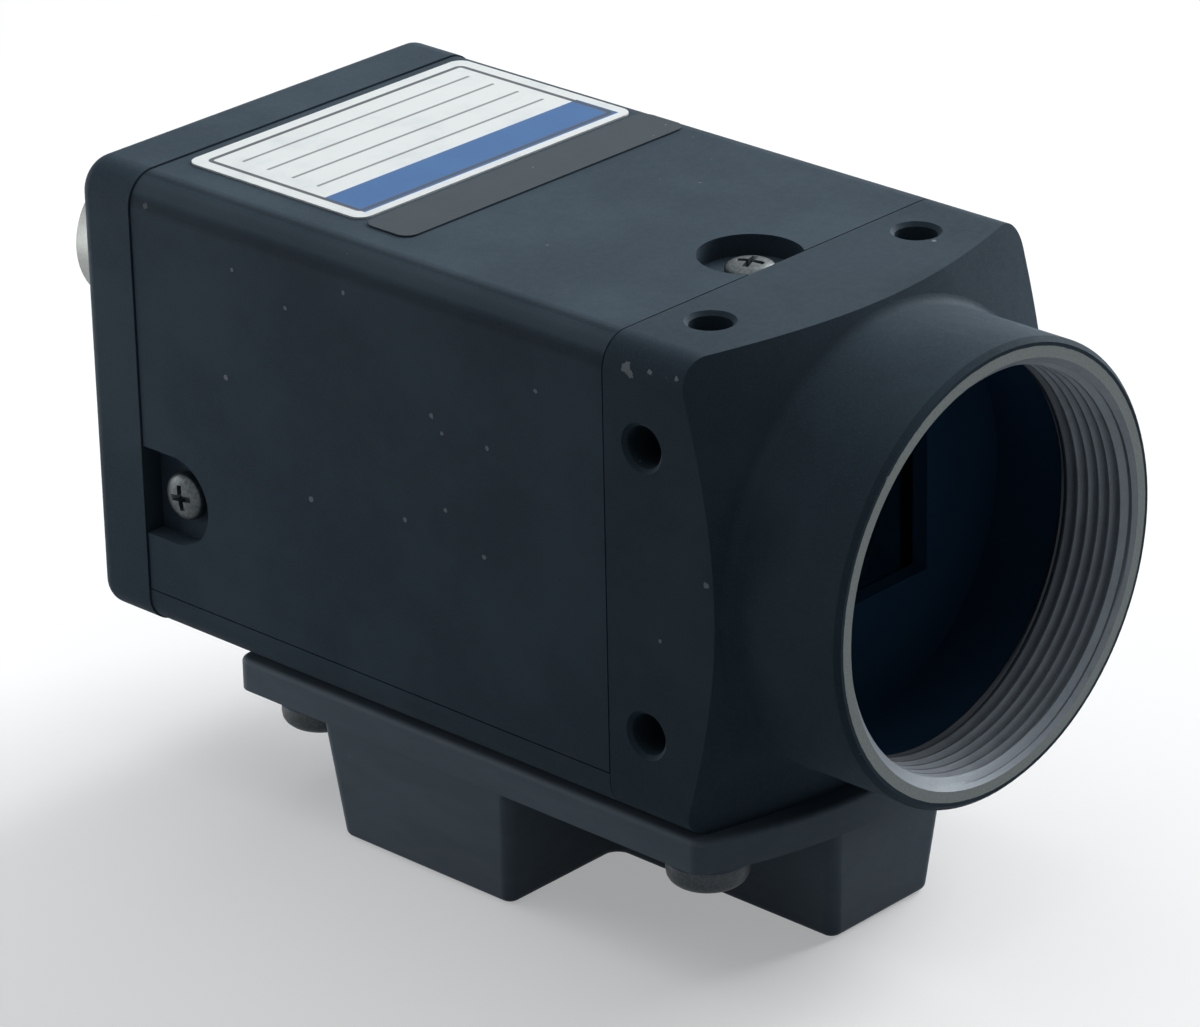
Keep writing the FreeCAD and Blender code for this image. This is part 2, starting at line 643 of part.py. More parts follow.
# --- chassis: rear wall, bottom rail and two lugs in one piece ------------
chassis = body("chassis_body")
rail = sketch(chassis, "bottom_rail", "XZ_Plane", -(S["front_long"] + S["seam_gap"] / 2))
step_w = inside_w - S["slide_clear"]
outline(rail, [(-half_w, -half_h), (half_w, -half_h), (half_w, rail_top), (step_w, rail_top),
               (step_w, rail_floor), (-step_w, rail_floor), (-step_w, rail_top), (-half_w, rail_top)])
pad(chassis, rail, rear_seam - S["front_long"] - S["seam_gap"] / 2, reverse=True)
keel = edges_where(chassis.Shape, lambda e: runs_along(e, "y") and near(e.CenterOfMass.z, -half_h.value)
                   and near(abs(e.CenterOfMass.x), half_w.value))
dress(chassis, "Fillet", keel, S["corner_round"])
cap_w, cap_h = half_w + S["cap_proud"], half_h + S["cap_proud"]
wall = sketch(chassis, "rear_wall", "XZ_Plane", -rear_seam)
oblong(wall, (-cap_w, cap_w), (-cap_h, cap_h))
pad(chassis, wall, S["cap_thick"], reverse=True)
dress(chassis, "Fillet", edges_where(chassis.Shape, lambda e: runs_along(e, "y")
                                     and near(abs(e.CenterOfMass.x), cap_w.value)),
      S["corner_round"] + S["cap_proud"])
dress(chassis, "Fillet", edges_where(chassis.Shape, lambda e: near(e.CenterOfMass.y, S["body_long"].value)),
      S["cap_round"])
for side in (1, -1):
    letter = "a" if side > 0 else "b"
    lug = sketch(chassis, "lug_" + letter, "YZ_Plane", land_side * side)
    oblong(lug, (rear_seam - S["lug_long"], rear_seam + bite), (rail_floor - bite, rail_floor + S["lug_high"]))
    pad(chassis, lug, S["lug_thick"], reverse=side > 0)
    hole = sketch(chassis, "lug_tap_" + letter, "YZ_Plane", land_side * side)
    ring(hole, side_screw_y, screw_z, S["small_tap"])
    pocket(chassis, hole, S["lug_thick"] + bite, reverse=side < 0)
plug_hole = sketch(chassis, "connector_hole", "XZ_Plane", -rear_seam)
ring(plug_hole, plug_x, plug_z, S["plug_neck"] + S["slide_clear"] * 2)
pocket(chassis, plug_hole, S["cap_thick"] + spare)
flat_holes = sketch(chassis, "flat_screw_holes", "XY_Plane", -half_h)
for side in (-1, 1):
    ring(flat_holes, S["flat_screw_pitch"] / 2 * side, flat_screw_y, S["small_free"])
pocket(chassis, flat_holes, rail_floor + half_h, reverse=True)
rear_taps = sketch(chassis, "rear_adapter_taps", "XY_Plane", -half_h)
for side in (-1, 1):
    ring(rear_taps, adapter_screw_x * side, S["adapter_screw_rear"], S["tap_dia"])
pocket(chassis, rear_taps, rail_floor + half_h, reverse=True)
sinks = edges_where(chassis.Shape, lambda e: e.Curve.TypeId == "Part::GeomCircle"
                    and near(e.Curve.Radius, S["small_free"].value / 2)
                    and near(e.Curve.Center.z, -half_h.value))
sink = (S["flat_head_dia"] - S["small_free"]) / 2
dress(chassis, "Chamfer", sinks, sink + S["slide_clear"])
place(chassis, "chassis")


# --- screws ---------------------------------------------------------------
def pan_screw(name, head_dia, head_high, shank_dia, shank_long, seat, axis, sign):
    """A pan-head screw seated at a point, with its head towards sign * axis."""
    step = "XYZ".index(axis)

    def along(distance):
        spot = [dim(value) for value in seat]
        spot[step] = spot[step] + dim(distance)
        return spot

    rim = head_high * RIM_SHARE
    crown = head_high - rim
    if sign > 0:
        low, mid = along(0), along(rim)
        parts = [rod(name + "_rim", head_dia, low, rim, axis),
                 cone(name + "_crown", head_dia, head_dia * CROWN_SHARE, mid, crown, axis),
                 rod(name + "_shank", shank_dia, along(-dim(shank_long)), shank_long, axis)]
    else:
        parts = [rod(name + "_rim", head_dia, along(-rim), rim, axis),
                 cone(name + "_crown", head_dia * CROWN_SHARE, head_dia, along(-dim(head_high)), crown, axis),
                 rod(name + "_shank", shank_dia, seat, shank_long, axis)]
    return fuse(name, parts)


def small_screw(name, seat, axis, sign, length):
    return pan_screw(name, S["small_head_dia"], S["small_head_high"], S["small_shank"],
                     length, seat, axis, sign)


top_long = notch_top - pocket_h - S["slide_clear"]
side_long = S["seat_thick"] + S["lug_thick"] - S["slide_clear"]
place(group("cover_screws_set", [
    small_screw("top_screw", (0, top_screw_y, notch_top), "Z", 1, top_long),
    small_screw("right_screw", (notch_side, side_screw_y, screw_z), "X", 1, side_long),
    small_screw("left_screw", (-notch_side, side_screw_y, screw_z), "X", -1, side_long)]),
    "cover_screws")

flat_set = []
for side in (-1, 1):
    x = S["flat_screw_pitch"] / 2 * side
    letter = "a" if side > 0 else "b"
    flat_set.append(fuse("flat_screw_" + letter, [
        cone("flat_head_" + letter, S["flat_head_dia"], S["small_shank"],
             (x, flat_screw_y, -half_h), (S["flat_head_dia"] - S["small_shank"]) / 2, "Z"),
        rod("flat_shank_" + letter, S["small_shank"], (x, flat_screw_y, -half_h),
            half_h - pocket_h - S["slide_clear"], "Z")]))
place(group("chassis_screws_set", flat_set), "chassis_screws")

pan_set = []
for side in (-1, 1):
    for name, y in (("front", S["adapter_screw_front"]), ("rear", S["adapter_screw_rear"])):
        into = S["pan_into"] if name == "front" else rail_floor + half_h - S["slide_clear"]
        pan_set.append(pan_screw(
            f"adapter_screw_{name}_{'a' if side > 0 else 'b'}", S["pan_head_dia"], S["pan_head_high"],
            S["pan_shank"], S["plate_thick"] + S["screw_boss"] + into,
            (adapter_screw_x * side, y, seat_foot), "Z", -1))
place(group("adapter_screws_set", pan_set), "adapter_screws")

# --- mounting adapter: a moulded plate on a cross-shaped block ------------
adapter = body("mount_adapter_body")
plate = sketch(adapter, "plate_outline", "XY_Plane", -half_h)
oblong(plate, (-edge_w, edge_w), (S["plate_front"], S["plate_rear"]))
pad(adapter, plate, S["plate_thick"], reverse=True)
bow = sketch(adapter, "plate_bow", "XY_Plane", -half_h)
for widen in (1, 2):
    ring(bow, 0, S["plate_front"] + S["plate_bow"], S["plate_bow"] * 2 * widen)
pocket(adapter, bow, S["plate_thick"] + spare)
posts = edges_where(adapter.Shape, lambda e: runs_along(e, "z"))
dress(adapter, "Fillet", posts, S["plate_round"])
brow = edges_where(adapter.Shape, lambda e: near(e.BoundBox.ZMin, -half_h.value))
dress(adapter, "Fillet", brow, S["plate_brow"])


def leaning_block(name, x, y):
    """A block under the plate whose four sides lean in towards its foot."""
    lean_in = S["draft"]
    top = sketch(adapter, name + "_top", "XY_Plane", plate_foot + bite)
    oblong(top, x, y)
    foot = sketch(adapter, name + "_foot", "XY_Plane", adapter_foot)
    oblong(foot, (dim(x[0]) + lean_in, dim(x[1]) - lean_in), (dim(y[0]) + lean_in, dim(y[1]) - lean_in))
    loft = adapter.newObject("PartDesign::AdditiveLoft", name)
    loft.Profile = top
    loft.Sections = [foot]
    loft.Ruled = True
    adapter.Tip = loft
    doc.recompute()


spine = S["spine_wide"] / 2 + S["draft"] / 2
leaning_block("cross_arm", (-edge_w, edge_w), (S["arm_front"], S["arm_rear"]))
leaning_block("spine_arm", (-spine, spine), (S["plate_front"] + S["spine_step"], S["plate_rear"]))


def spans(edge, low, high):
    """True for an edge whose height runs at least from low to high."""
    box = edge.BoundBox
    return box.ZMin < low + 0.01 and box.ZMax > high - 0.01


shins = edges_where(adapter.Shape, lambda e: spans(e, adapter_foot.value, plate_foot.value))
dress(adapter, "Fillet", shins, S["block_round"])
soles = edges_where(adapter.Shape, lambda e: near(e.BoundBox.ZMax, adapter_foot.value))
dress(adapter, "Fillet", soles, S["sole_round"])
seats = sketch(adapter, "screw_seats", "XY_Plane", plate_foot + bite)
for side in (-1, 1):
    for y in (S["adapter_screw_front"], S["adapter_screw_rear"]):
        ring(seats, adapter_screw_x * side, y, S["screw_boss_dia"])
pad(adapter, seats, S["screw_boss"] + bite, reverse=True)
holes = sketch(adapter, "screw_holes", "XY_Plane", -half_h)
for side in (-1, 1):
    for y in (S["adapter_screw_front"], S["adapter_screw_rear"]):
        ring(holes, adapter_screw_x * side, y, S["pan_free"])
pocket(adapter, holes, S["plate_thick"] + S["screw_boss"] + bite)
tripod = sketch(adapter, "insert_seat", "XY_Plane", adapter_foot)
ring(tripod, 0, S["tripod_back"], S["tripod_insert_dia"] + S["slide_clear"])
pocket(adapter, tripod, S["tripod_deep"] + S["tripod_floor"], reverse=True)
place(adapter, "mount_adapter")

insert = cut("tripod_insert_body", rod(
    "insert_barrel", S["tripod_insert_dia"], (0, S["tripod_back"], adapter_foot),
    S["tripod_deep"] + S["tripod_floor"], "Z"), [
    rod("insert_thread", S["tripod_dia"], (0, S["tripod_back"], adapter_foot), S["tripod_deep"], "Z")])
place(insert, "tripod_insert")

# --- optics and sensor ----------------------------------------------------
half_glass = (S["filter_wide"] / 2, S["filter_high"] / 2)
place(block("filter_plate", (-half_glass[0], half_glass[0]), (S["filter_back"], filter_rear),
            (-half_glass[1], half_glass[1])), "filter_glass")


def frame_of(name, half_u, half_v, wall_thick, y):
    """A rectangular frame with a wall of even thickness."""
    outer = block(name + "_outer", (-half_u, half_u), y, (-half_v, half_v))
    inner_u, inner_v = half_u - wall_thick, half_v - wall_thick
    inner = block(name + "_inner", (-inner_u, inner_u), (y[0] - spare, y[1] + spare),
                  (-inner_v, inner_v))
    return cut(name, outer, [inner])


cell_u, cell_v = S["sensor_wide"] / 2, S["sensor_high"] / 2
place(frame_of("gasket", cell_u - S["gasket_inset"], cell_v - S["gasket_inset"], S["gasket_wall"],
               (filter_rear, glass_front)), "dust_gasket")
rim_u, rim_v = cell_u - S["cell_rim"], cell_v - S["cell_rim"]
place(cut("package", block("package_solid", (-cell_u, cell_u), (package_front, board_face),
                           (-cell_v, cell_v)),
          [block("package_well", (-rim_u, rim_u), (package_front - spare, well_floor), (-rim_v, rim_v))]),
      "sensor_package")
die_u, die_v = S["die_wide"] / 2, S["die_high"] / 2
place(block("die", (-die_u, die_u), (S["sensor_back"], well_floor), (-die_v, die_v)), "sensor_die")
lid_u, lid_v = cell_u - S["glass_inset"], cell_v - S["glass_inset"]
place(block("lid", (-lid_u, lid_u), (glass_front, package_front), (-lid_v, lid_v)), "sensor_glass")

# --- circuit boards, standoffs and what joins them ------------------------
CONTACTS = []
for count, radius in ((8, S["contact_ring"]), (4, S["contact_core"])):
    for step in range(count):
        way = math.radians(360 * (step + 0.5) / count)
        CONTACTS.append((plug_x + radius * math.cos(way), plug_z + radius * math.sin(way)))
names = ("sensor_board", "process_board", "power_board", "connector_board")
for label, y in zip(names, BOARDS):
    board = body(label + "_body")
    sheet_of = sketch(board, label + "_outline", "XZ_Plane", -y)
    oblong(sheet_of, (-board_w, board_w), (-board_h, board_h))
    post_rings(sheet_of, S["board_hole"])
    pad(board, sheet_of, S["board_thick"], reverse=True)
    trims = edges_where(board.Shape, lambda e: runs_along(e, "y"))
    dress(board, "Chamfer", trims, S["board_trim"])
    if label == "connector_board":
        tails = sketch(board, "tail_holes", "XZ_Plane", -y)
        for x, z in CONTACTS:
            ring(tails, x, z, S["contact_dia"] + S["slide_clear"] * 2)
        pocket(board, tails, S["board_thick"])
    place(board, label)

gap_between = board_pitch - S["board_thick"]


def standoff(name, x, y, z):
    """A hexagonal standoff with a stud at the front and a threaded hole behind."""
    prism = turn(doc.addObject("Part::Prism", name + "_hex"), *ALONG["Y"])
    prism.Polygon = 6
    bind(prism, Circumradius=S["standoff_flats"] * HEX_CORNER, Height=gap_between)
    at(prism, x, y, z)
    stud = rod(name + "_stud", S["stud_dia"], (x, y - S["board_thick"] - S["stud_long"], z),
               S["board_thick"] + S["stud_long"] + bite, "Y")
    hole_deep = S["stud_long"] + S["hole_spare"]
    drilled = rod(name + "_hole", S["stud_hole"], (x, y + gap_between - hole_deep, z),
                  hole_deep + bite, "Y")
    return cut(name, fuse(name + "_solid", [prism, stud]), [drilled])


spacers = []
for level in range(3):
    for n, (x, z) in enumerate(POSTS):
        spacers.append(standoff(f"standoff_{level}_{n}", x, BOARDS[level] + S["board_thick"], z))
place(group("standoff_set", spacers), "board_standoffs")

last_face = BOARDS[3] + S["board_thick"]
place(group("board_screw_set", [
    small_screw(f"board_screw_{n}", (x, last_face, z), "Y", 1, S["board_thick"] + S["stud_long"])
    for n, (x, z) in enumerate(POSTS)]), "board_screws")

head_u = post_x - S["header_inset"]
head_v = S["header_high"] / 2
head_z = S["header_rise"] - post_z
place(group("header_set", [
    block(f"header_{n}", (-head_u, head_u), (BOARDS[n] + S["board_thick"], BOARDS[n + 1]),
          (head_z - head_v, head_z + head_v)) for n in range(3)]),
    "board_headers")

chip = S["chip_side"] / 2
place(block("processor_chip", (-chip, chip), (BOARDS[1] + S["board_thick"],
                                              BOARDS[1] + S["board_thick"] + S["chip_thick"]),
            (S["chip_rise"] - chip, S["chip_rise"] + chip)), "image_processor")
store, store_x = S["memory_wide"] / 2, S["memory_pitch"] / 2
place(group("memory_set", [
    block(f"memory_{n}", (store_x * n - store, store_x * n + store),
          (BOARDS[1] - S["memory_thick"], BOARDS[1]), (S["chip_rise"], S["chip_rise"] + S["memory_high"]))
    for n in (-1, 1)]), "memory_chips")
coil, coil_x = S["coil_side"] / 2, S["coil_pitch"] / 2
place(group("coil_set", [
    block(f"coil_{n}", (coil_x * n - coil, coil_x * n + coil),
          (BOARDS[2] - S["coil_thick"], BOARDS[2]), (S["coil_rise"] - coil, S["coil_rise"] + coil))
    for n in (-1, 1)]), "power_coils")
place(group("can_set", [
    rod(f"can_{n}", S["can_dia"], (S["can_pitch"] * n, BOARDS[2] + S["board_thick"], S["can_rise"]),
        S["can_long"], "Y")
    for n in (-1, 0, 1)]), "power_capacitors")

# --- rear connector -------------------------------------------------------
shell_inner = S["plug_dia"] - S["plug_wall"] * 2
neck_inner = S["plug_neck"] - S["plug_wall"] * 2
neck_front = rear_seam - S["plug_nut_thick"] - S["neck_past"]
shell = cut("connector_shell_body", fuse("shell_solid", [
    rod("shell_barrel", S["plug_dia"], (plug_x, S["body_long"], plug_z), S["plug_out"], "Y"),
    rod("shell_flange", S["plug_flange"], (plug_x, S["body_long"], plug_z), S["plug_flange_thick"], "Y"),
    rod("shell_neck", S["plug_neck"], (plug_x, neck_front, plug_z), S["body_long"] - neck_front + bite, "Y")]), [
    rod("shell_hollow", shell_inner, (plug_x, S["body_long"], plug_z), S["plug_out"] + spare, "Y"),
    rod("neck_hollow", neck_inner, (plug_x, neck_front - spare, plug_z), S["body_long"] - neck_front + spare * 2,
        "Y")])
place(shell, "connector_shell")

nut_hex = turn(doc.addObject("Part::Prism", "nut_hex"), *ALONG["Y"])
nut_hex.Polygon = 6
bind(nut_hex, Circumradius=S["plug_nut"] * HEX_CORNER, Height=S["plug_nut_thick"])
at(nut_hex, plug_x, rear_seam - S["plug_nut_thick"], plug_z)
place(cut("connector_nut_body", nut_hex, [
    rod("nut_hole", S["plug_neck"] + S["slide_clear"], (plug_x, rear_seam - S["plug_nut_thick"] - spare, plug_z),
        S["plug_nut_thick"] + spare * 2, "Y")]), "connector_nut")

insert_end = plug_end - S["plug_recess"]
insert_step = S["body_long"] + S["slide_clear"] / 2
contact_front = BOARDS[3] - S["contact_tail"]
core = fuse("insert_core", [
    rod("insert_face", shell_inner - S["slide_clear"], (plug_x, insert_step, plug_z),
        insert_end - insert_step, "Y"),
    rod("insert_neck", neck_inner - S["slide_clear"], (plug_x, neck_front, plug_z),
        insert_step - neck_front + bite, "Y")])
place(cut("connector_insert_body", core, [
    rod(f"contact_hole_{n}", S["contact_dia"], (x, neck_front - spare, z),
        insert_end - neck_front + spare * 2, "Y") for n, (x, z) in enumerate(CONTACTS)]), "connector_insert")
place(group("contact_set", [
    rod(f"contact_{n}", S["contact_dia"], (x, contact_front, z),
        plug_end - S["contact_below"] - contact_front, "Y")
    for n, (x, z) in enumerate(CONTACTS)]), "connector_contacts")


# --- labels ---------------------------------------------------------------
def sticker(name, wide, y):
    """A thin label on the cover's top with rounded corners."""
    thing = body(name + "_body")
    face = sketch(thing, name + "_outline", "XY_Plane", half_h)
    oblong(face, (S["label_mid"] - wide / 2, S["label_mid"] + wide / 2), y)
    pad(thing, face, S["label_thick"])
    picks = edges_where(thing.Shape, lambda e: runs_along(e, "z"))
    dress(thing, "Fillet", picks, S["label_round"])
    place(thing, name)


label_rear = rear_seam - S["label_inset"]
label_front = label_rear - S["label_long"]
strip_rear = label_front - S["strip_gap"]
sticker("white_label", S["label_wide"], (label_front, label_rear))
sticker("dark_strip", S["strip_wide"], (strip_rear - S["strip_long"], strip_rear))

# --- check and write ------------------------------------------------------
doc.recompute()
for thing in doc.Objects:
    if "Invalid" in thing.State or "Error" in thing.State:
        raise RuntimeError(f"{thing.Name} ({thing.Label}) failed: {thing.State}")
os.makedirs("parts", exist_ok=True)
for label, piece in pieces.items():
    shape = piece.Shape
    if shape.isNull() or not shape.isValid() or not shape.Solids:
        raise RuntimeError(label + " is not a valid solid")
    if len(shape.Solids) == 1:
        shape = shape.Solids[0]
    shape.exportStep(f"parts/{label}.step")
    box = shape.BoundBox
    print(f"{label:20s} solids {len(piece.Shape.Solids):2d} volume {shape.Volume:9.2f}"
          f" x {box.XMin:7.2f} {box.XMax:7.2f} y {box.YMin:7.2f} {box.YMax:7.2f}"
          f" z {box.ZMin:7.2f} {box.ZMax:7.2f}")
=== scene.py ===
import math

import bmesh
import bpy
from mathutils import Matrix, Vector
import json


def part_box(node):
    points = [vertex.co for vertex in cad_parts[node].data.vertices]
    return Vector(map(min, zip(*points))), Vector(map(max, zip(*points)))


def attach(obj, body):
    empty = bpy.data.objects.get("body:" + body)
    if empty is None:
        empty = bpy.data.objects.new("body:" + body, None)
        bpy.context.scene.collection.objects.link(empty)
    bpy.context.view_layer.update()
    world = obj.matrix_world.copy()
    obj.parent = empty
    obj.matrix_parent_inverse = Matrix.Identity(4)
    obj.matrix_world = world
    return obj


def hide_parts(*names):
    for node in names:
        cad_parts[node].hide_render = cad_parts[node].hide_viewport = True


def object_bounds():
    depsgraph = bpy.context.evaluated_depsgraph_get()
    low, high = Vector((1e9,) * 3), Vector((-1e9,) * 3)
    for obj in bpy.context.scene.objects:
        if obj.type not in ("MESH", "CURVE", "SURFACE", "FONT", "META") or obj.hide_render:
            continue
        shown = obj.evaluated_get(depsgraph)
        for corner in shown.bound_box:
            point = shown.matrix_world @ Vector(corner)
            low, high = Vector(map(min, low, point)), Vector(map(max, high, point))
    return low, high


# Looks for a fixed C-mount machine vision camera. Lengths are in metres.
# The lens axis is Y, the lens seats on y = 0 and the body runs back along +Y.

MM = 0.001
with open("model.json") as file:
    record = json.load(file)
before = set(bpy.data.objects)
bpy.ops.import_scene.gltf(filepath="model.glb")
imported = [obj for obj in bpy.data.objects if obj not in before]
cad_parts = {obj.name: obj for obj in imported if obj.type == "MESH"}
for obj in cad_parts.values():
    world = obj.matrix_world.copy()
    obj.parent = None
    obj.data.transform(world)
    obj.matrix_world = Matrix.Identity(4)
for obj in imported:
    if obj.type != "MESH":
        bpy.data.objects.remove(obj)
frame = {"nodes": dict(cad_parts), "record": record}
cad_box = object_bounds()
nodes = frame["nodes"]
mounts = {mount["name"]: mount for mount in frame["record"]["mounts"]}

THREAD_R = mounts["lens_mount"]["dims"]["r_mm"] * MM
THREAD_PITCH = 25.4 * MM / 32
THREAD_DEEP = 0.42 * MM
THREAD_END, THREAD_RUN_OUT = 5.2 * MM, 0.2 * MM
MOUTH_R, RELIEF_R, RIM_R = 12.95 * MM, 12.75 * MM, 13.62 * MM
RELIEF_START = THREAD_END + RELIEF_R - THREAD_R
SMALL_HEAD_R, SMALL_HEAD_HIGH = 1.55 * MM, 0.95 * MM
PAN_HEAD_R, PAN_HEAD_HIGH = 2.5 * MM, 1.9 * MM


# --- shader graphs --------------------------------------------------------
class Graph:
    """A material's node tree with short calls for the nodes used here."""

    def __init__(self, name):
        self.material = bpy.data.materials.new(name)
        self.material.use_nodes = True
        self.tree = self.material.node_tree
        self.tree.nodes.clear()
        self.shader = self.tree.nodes.new("ShaderNodeBsdfPrincipled")
        self.output = self.tree.nodes.new("ShaderNodeOutputMaterial")
        self.link(self.shader.outputs[0], self.output.inputs["Surface"])
        self.place = self.tree.nodes.new("ShaderNodeTexCoord").outputs["Object"]
        split = self.tree.nodes.new("ShaderNodeSeparateXYZ")
        self.link(self.place, split.inputs[0])
        self.x, self.y, self.z = split.outputs
        normal = self.tree.nodes.new("ShaderNodeNewGeometry").outputs["Normal"]
        facing = self.tree.nodes.new("ShaderNodeSeparateXYZ")
        self.link(normal, facing.inputs[0])
        self.nx, self.ny, self.nz = facing.outputs

    def link(self, source, target):
        self.tree.links.new(source, target)

    def feed(self, socket, value):
        if isinstance(value, bpy.types.NodeSocket):
            self.link(value, socket)
        elif isinstance(value, (tuple, list)) and len(value) == 3 and len(socket.default_value) == 4:
            socket.default_value = (*value, 1)
        else:
            socket.default_value = value

    def math(self, operation, first, second=0.0, third=0.0, clamp=False):
        node = self.tree.nodes.new("ShaderNodeMath")
        node.operation = operation
        node.use_clamp = clamp
        for socket, value in zip(node.inputs, (first, second, third)):
            self.feed(socket, value)
        return node.outputs[0]

    def rise(self, value, low, high):
        """0 below low, 1 above high and smooth between."""
        node = self.tree.nodes.new("ShaderNodeMapRange")
        node.interpolation_type = "SMOOTHSTEP"
        for name, number in (("Value", value), ("From Min", low), ("From Max", high)):
            self.feed(node.inputs[name], number)
        return node.outputs[0]

    def band(self, value, low, high, soft):
        """1 between low and high."""
        return self.math("MULTIPLY", self.rise(value, low - soft, low + soft),
                         self.math("SUBTRACT", 1.0, self.rise(value, high - soft, high + soft)))

    def both(self, *masks):
        total = masks[0]
        for mask in masks[1:]:
            total = self.math("MULTIPLY", total, mask)
        return total

    def either(self, *masks):
        total = masks[0]
        for mask in masks[1:]:
            total = self.math("MAXIMUM", total, mask)
        return total

    def radius(self, first, second):
        """Distance from an axis, from the two coordinates across it."""
        square = self.math("ADD", self.math("MULTIPLY", first, first),
                           self.math("MULTIPLY", second, second))
        return self.math("SQRT", square)

    def noise(self, per_mm, detail=3.0, rough=0.55, stretch=(1, 1, 1), seed=0.0):
        """Noise with the given number of blobs to a millimetre, about 0 to 1."""
        shape = self.tree.nodes.new("ShaderNodeMapping")
        shape.inputs["Scale"].default_value = stretch
        shape.inputs["Location"].default_value = (seed, seed * 0.7, seed * 1.3)
        self.link(self.place, shape.inputs["Vector"])
        node = self.tree.nodes.new("ShaderNodeTexNoise")
        node.inputs["Scale"].default_value = per_mm / MM
        node.inputs["Detail"].default_value = detail
        node.inputs["Roughness"].default_value = rough
        self.link(shape.outputs[0], node.inputs["Vector"])
        return node.outputs[0]

    def dots(self, per_mm, size, keep):
        """Sparse round specks: size is their radius in cells, keep their share."""
        node = self.tree.nodes.new("ShaderNodeTexVoronoi")
        node.inputs["Scale"].default_value = per_mm / MM
        self.link(self.place, node.inputs["Vector"])
        pick = self.tree.nodes.new("ShaderNodeSeparateColor")
        self.link(node.outputs["Color"], pick.inputs[0])
        limit = self.math("MULTIPLY", self.math("POWER", pick.outputs[1], 3.0), size)
        near = self.math("LESS_THAN", node.outputs["Distance"], limit)
        return self.math("MULTIPLY", near, self.math("LESS_THAN", pick.outputs[0], keep))

    def mix(self, factor, first, second):
        node = self.tree.nodes.new("ShaderNodeMix")
        node.data_type = "RGBA"
        self.feed(node.inputs["Factor"], factor)
        colours = [socket for socket in node.inputs if socket.type == "RGBA"]
        self.feed(colours[0], first)
        self.feed(colours[1], second)
        return next(socket for socket in node.outputs if socket.type == "RGBA")

    def blend(self, factor, first, second):
        """A number that goes from first to second."""
        node = self.tree.nodes.new("ShaderNodeMix")
        numbers = [socket for socket in node.inputs if socket.type == "VALUE"]
        self.feed(numbers[0], factor)
        self.feed(numbers[1], first)
        self.feed(numbers[2], second)
        return node.outputs[0]

    def bump(self, height, distance, strength=1.0, under=None):
        node = self.tree.nodes.new("ShaderNodeBump")
        node.inputs["Distance"].default_value = distance
        node.inputs["Strength"].default_value = strength
        self.link(height, node.inputs["Height"])
        if under is not None:
            self.link(under, node.inputs["Normal"])
        return node.outputs[0]

    def set(self, **values):
        for name, value in values.items():
            self.feed(self.shader.inputs[name.replace("_", " ")], value)
        return self.material


# --- materials ------------------------------------------------------------
CHIPS = (  # small knocks through the coating on the side in view: y, z, radius, in millimetres
    (15, 13.7, 0.30), (14.6, 13.4, 0.20), (13.2, 13.9, 0.22), (11.3, 14.1, 0.28), (12, 14, 0.18),
    (9, 2, 0.17), (12.6, -2.6, 0.12),
    (54.5, 13.5, 0.17), (48, 4, 0.17), (47, 11.3, 0.11), (43.5, 13.8, 0.15), (42.5, 10, 0.12),
    (41, -2, 0.17), (37.5, 12.3, 0.13), (33, -1, 0.13), (30.5, 6.4, 0.15), (29.7, 5.5, 0.11),
    (29.6, 0.6, 0.13), (26.5, -1.5, 0.14), (26, 5.6, 0.13), (22, 10.3, 0.13))
HOUSING_CHIPS = 7  # the first of them lie on the front housing


def near_points(graph, points, ragged):
    """A mask over small ragged spots at places given in millimetres."""
    total = None
    for x, y, z, radius in points:
        gap = graph.tree.nodes.new("ShaderNodeVectorMath")
        gap.operation = "DISTANCE"
        graph.link(graph.place, gap.inputs[0])
        gap.inputs[1].default_value = (x * MM, y * MM, z * MM)
        reach = graph.math("MULTIPLY", ragged, radius * 2 * MM)
        spot = graph.math("LESS_THAN", gap.outputs["Value"], reach)
        total = spot if total is None else graph.math("MAXIMUM", total, spot)
    return total


def coated_metal(name, chips=(), dark=(0.034, 0.052, 0.069), light=(0.046, 0.068, 0.088)):
    """Blue-black satin coating on metal, with a fine grain, light specks and knocks."""
    g = Graph(name)
    cloud = g.noise(0.11, 4.0, seed=0.013)
    grain = g.noise(9.0, 2.0, 0.6)
    coarse = g.noise(2.2, 3.0, 0.6, seed=0.031)
    paint = g.mix(g.rise(cloud, 0.35, 0.68), dark, light)
    fleck = tuple(1.5 * part for part in light)
    paint = g.mix(g.math("MULTIPLY", g.rise(grain, 0.45, 0.75), 0.35), paint, fleck)
    specks = g.either(g.dots(0.30, 0.13, 0.25), g.dots(0.9, 0.12, 0.08))
    paint = g.mix(g.math("MULTIPLY", specks, 0.35), paint, (0.22, 0.25, 0.27))
    if chips:
        ragged = g.math("ADD", 0.05, g.noise(3.2, 3.0, 0.7, seed=0.05))
        knocked = near_points(g, chips, ragged)
        paint = g.mix(g.math("MULTIPLY", knocked, 0.65), paint, (0.26, 0.29, 0.31))
    rough = g.blend(g.rise(coarse, 0.3, 0.7), 0.60, 0.70)
    normal = g.bump(coarse, 0.010 * MM, 0.5, under=g.bump(grain, 0.006 * MM, 0.7))
    return g, paint, rough, normal


def plain_coating(name, chips=()):
    g, paint, rough, normal = coated_metal(name, chips)
    return g.set(Base_Color=paint, Roughness=rough, Normal=normal, Specular_IOR_Level=0.05)


